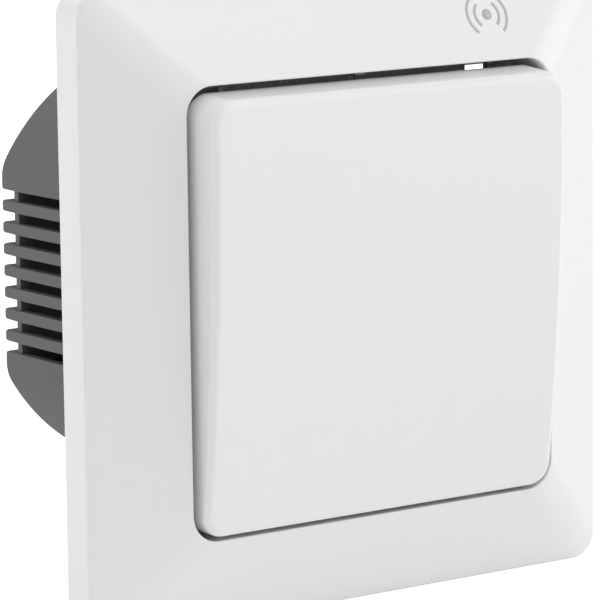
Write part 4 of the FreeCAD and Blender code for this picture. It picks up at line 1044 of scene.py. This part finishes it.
@dataclass
class Studio:
    """A pale floor, a white background, soft lamps and the camera."""

    floor_level: float = -40.3
    floor_tone: float = 0.94
    floor_glow: float = 0.62
    ambient: float = 0.49
    lamps: tuple[Lamp, ...] = (
        Lamp("right_front", (0.82, -0.56, 0.03), 1.8, 1.8, 1.6, 14.2),
        Lamp("left_behind", (-0.85, 0.50, 0.06), 1.3, 0.7, 0.6, 5.0),
        Lamp("top_behind", (-0.35, 0.55, 0.75), 1.3, 0.8, 0.8, 1.8),
        Lamp("top_front", (0.15, -0.45, 0.88), 1.6, 1.6, 1.6, 9.5),
    )
    azimuth: float = -35.52
    elevation: float = 9.26
    roll: float = -0.76
    distance: float = 503.5
    lens: float = 236.9
    sensor: float = 36.0
    target: Point = (-4.43, 0.0, -1.45)

    def build(self) -> None:
        """Set up the floor, the world, the lamps and the camera."""
        self.lay_floor()
        self.light_world()
        for lamp in self.lamps:
            lamp.hang()
        self.place_camera()
        bpy.context.scene.view_settings.view_transform = "Standard"

    def lay_floor(self) -> None:
        """A wide plain floor that the object stands on and throws its shadow on."""
        reach, level = 6.0, self.floor_level * MM
        mesh = bpy.data.meshes.new("floor")
        mesh.from_pydata([(-reach, -reach, level), (reach, -reach, level), (reach, reach, level),
                          (-reach, reach, level)], [], [(0, 1, 2, 3)])
        recipe = Recipe(bpy.data.materials.new("floor_paper"))
        grain = recipe.noise(recipe.millimetres(), 0.4, 3.0)
        tone = recipe.levels(grain, MIDDLE, (self.floor_tone - 0.005, self.floor_tone + 0.005))
        glow = recipe.maths("MULTIPLY", recipe.seen(), self.floor_glow)
        both = recipe.add("AddShader")
        recipe.feed(both.inputs[0], recipe.add("BsdfDiffuse", Color=tone))
        recipe.feed(both.inputs[1], recipe.add("Emission", Strength=glow))
        recipe.add("OutputMaterial", Surface=both)
        mesh.materials.append(recipe.owner)
        placed("floor", mesh)

    def light_world(self) -> None:
        """Even grey light from all round, seen as white."""
        world = bpy.data.worlds.new("studio")
        bpy.context.scene.world = world
        recipe = Recipe(world)
        light, white = (recipe.add("Background", Color=(1.0, 1.0, 1.0), Strength=strength)
                        for strength in (self.ambient, 1.0))
        both = recipe.add("MixShader")
        for socket, value in zip(both.inputs, (recipe.seen(), light, white)):
            recipe.feed(socket, value)
        recipe.add("OutputWorld", Surface=both)

    def place_camera(self) -> None:
        """Stand the camera where the photograph was taken from."""
        turn, rise, roll = radians(self.azimuth), radians(self.elevation), radians(self.roll)
        back = Vector((sin(turn) * cos(rise), -cos(turn) * cos(rise), sin(rise)))
        right = (-back).cross(Vector((0, 0, 1))).normalized()
        up = right.cross(-back)
        right, up = cos(roll) * right + sin(roll) * up, cos(roll) * up - sin(roll) * right
        data = bpy.data.cameras.new("camera")
        data.lens = self.lens
        data.sensor_width = self.sensor
        data.clip_start, data.clip_end = 0.01, 50.0
        camera = placed("camera", data)
        place = (Vector(self.target) + back * self.distance) * MM
        axes = Matrix((right, up, back)).transposed().to_4x4()
        camera.matrix_world = Matrix.Translation(place) @ axes
        bpy.context.scene.camera = camera


def main() -> None:
    """Build the switch from its cover to its terminals, then the studio."""
    logging.basicConfig(level=logging.INFO, format="%(name)s %(message)s")
    for kind in (Cover, Rocker, Fixing, Insert, Switching, Electronics, Power, Terminals, Studio):
        LOG.info("building %s", kind.__name__)
        kind().build()


if __name__ == "__main__":
    main()
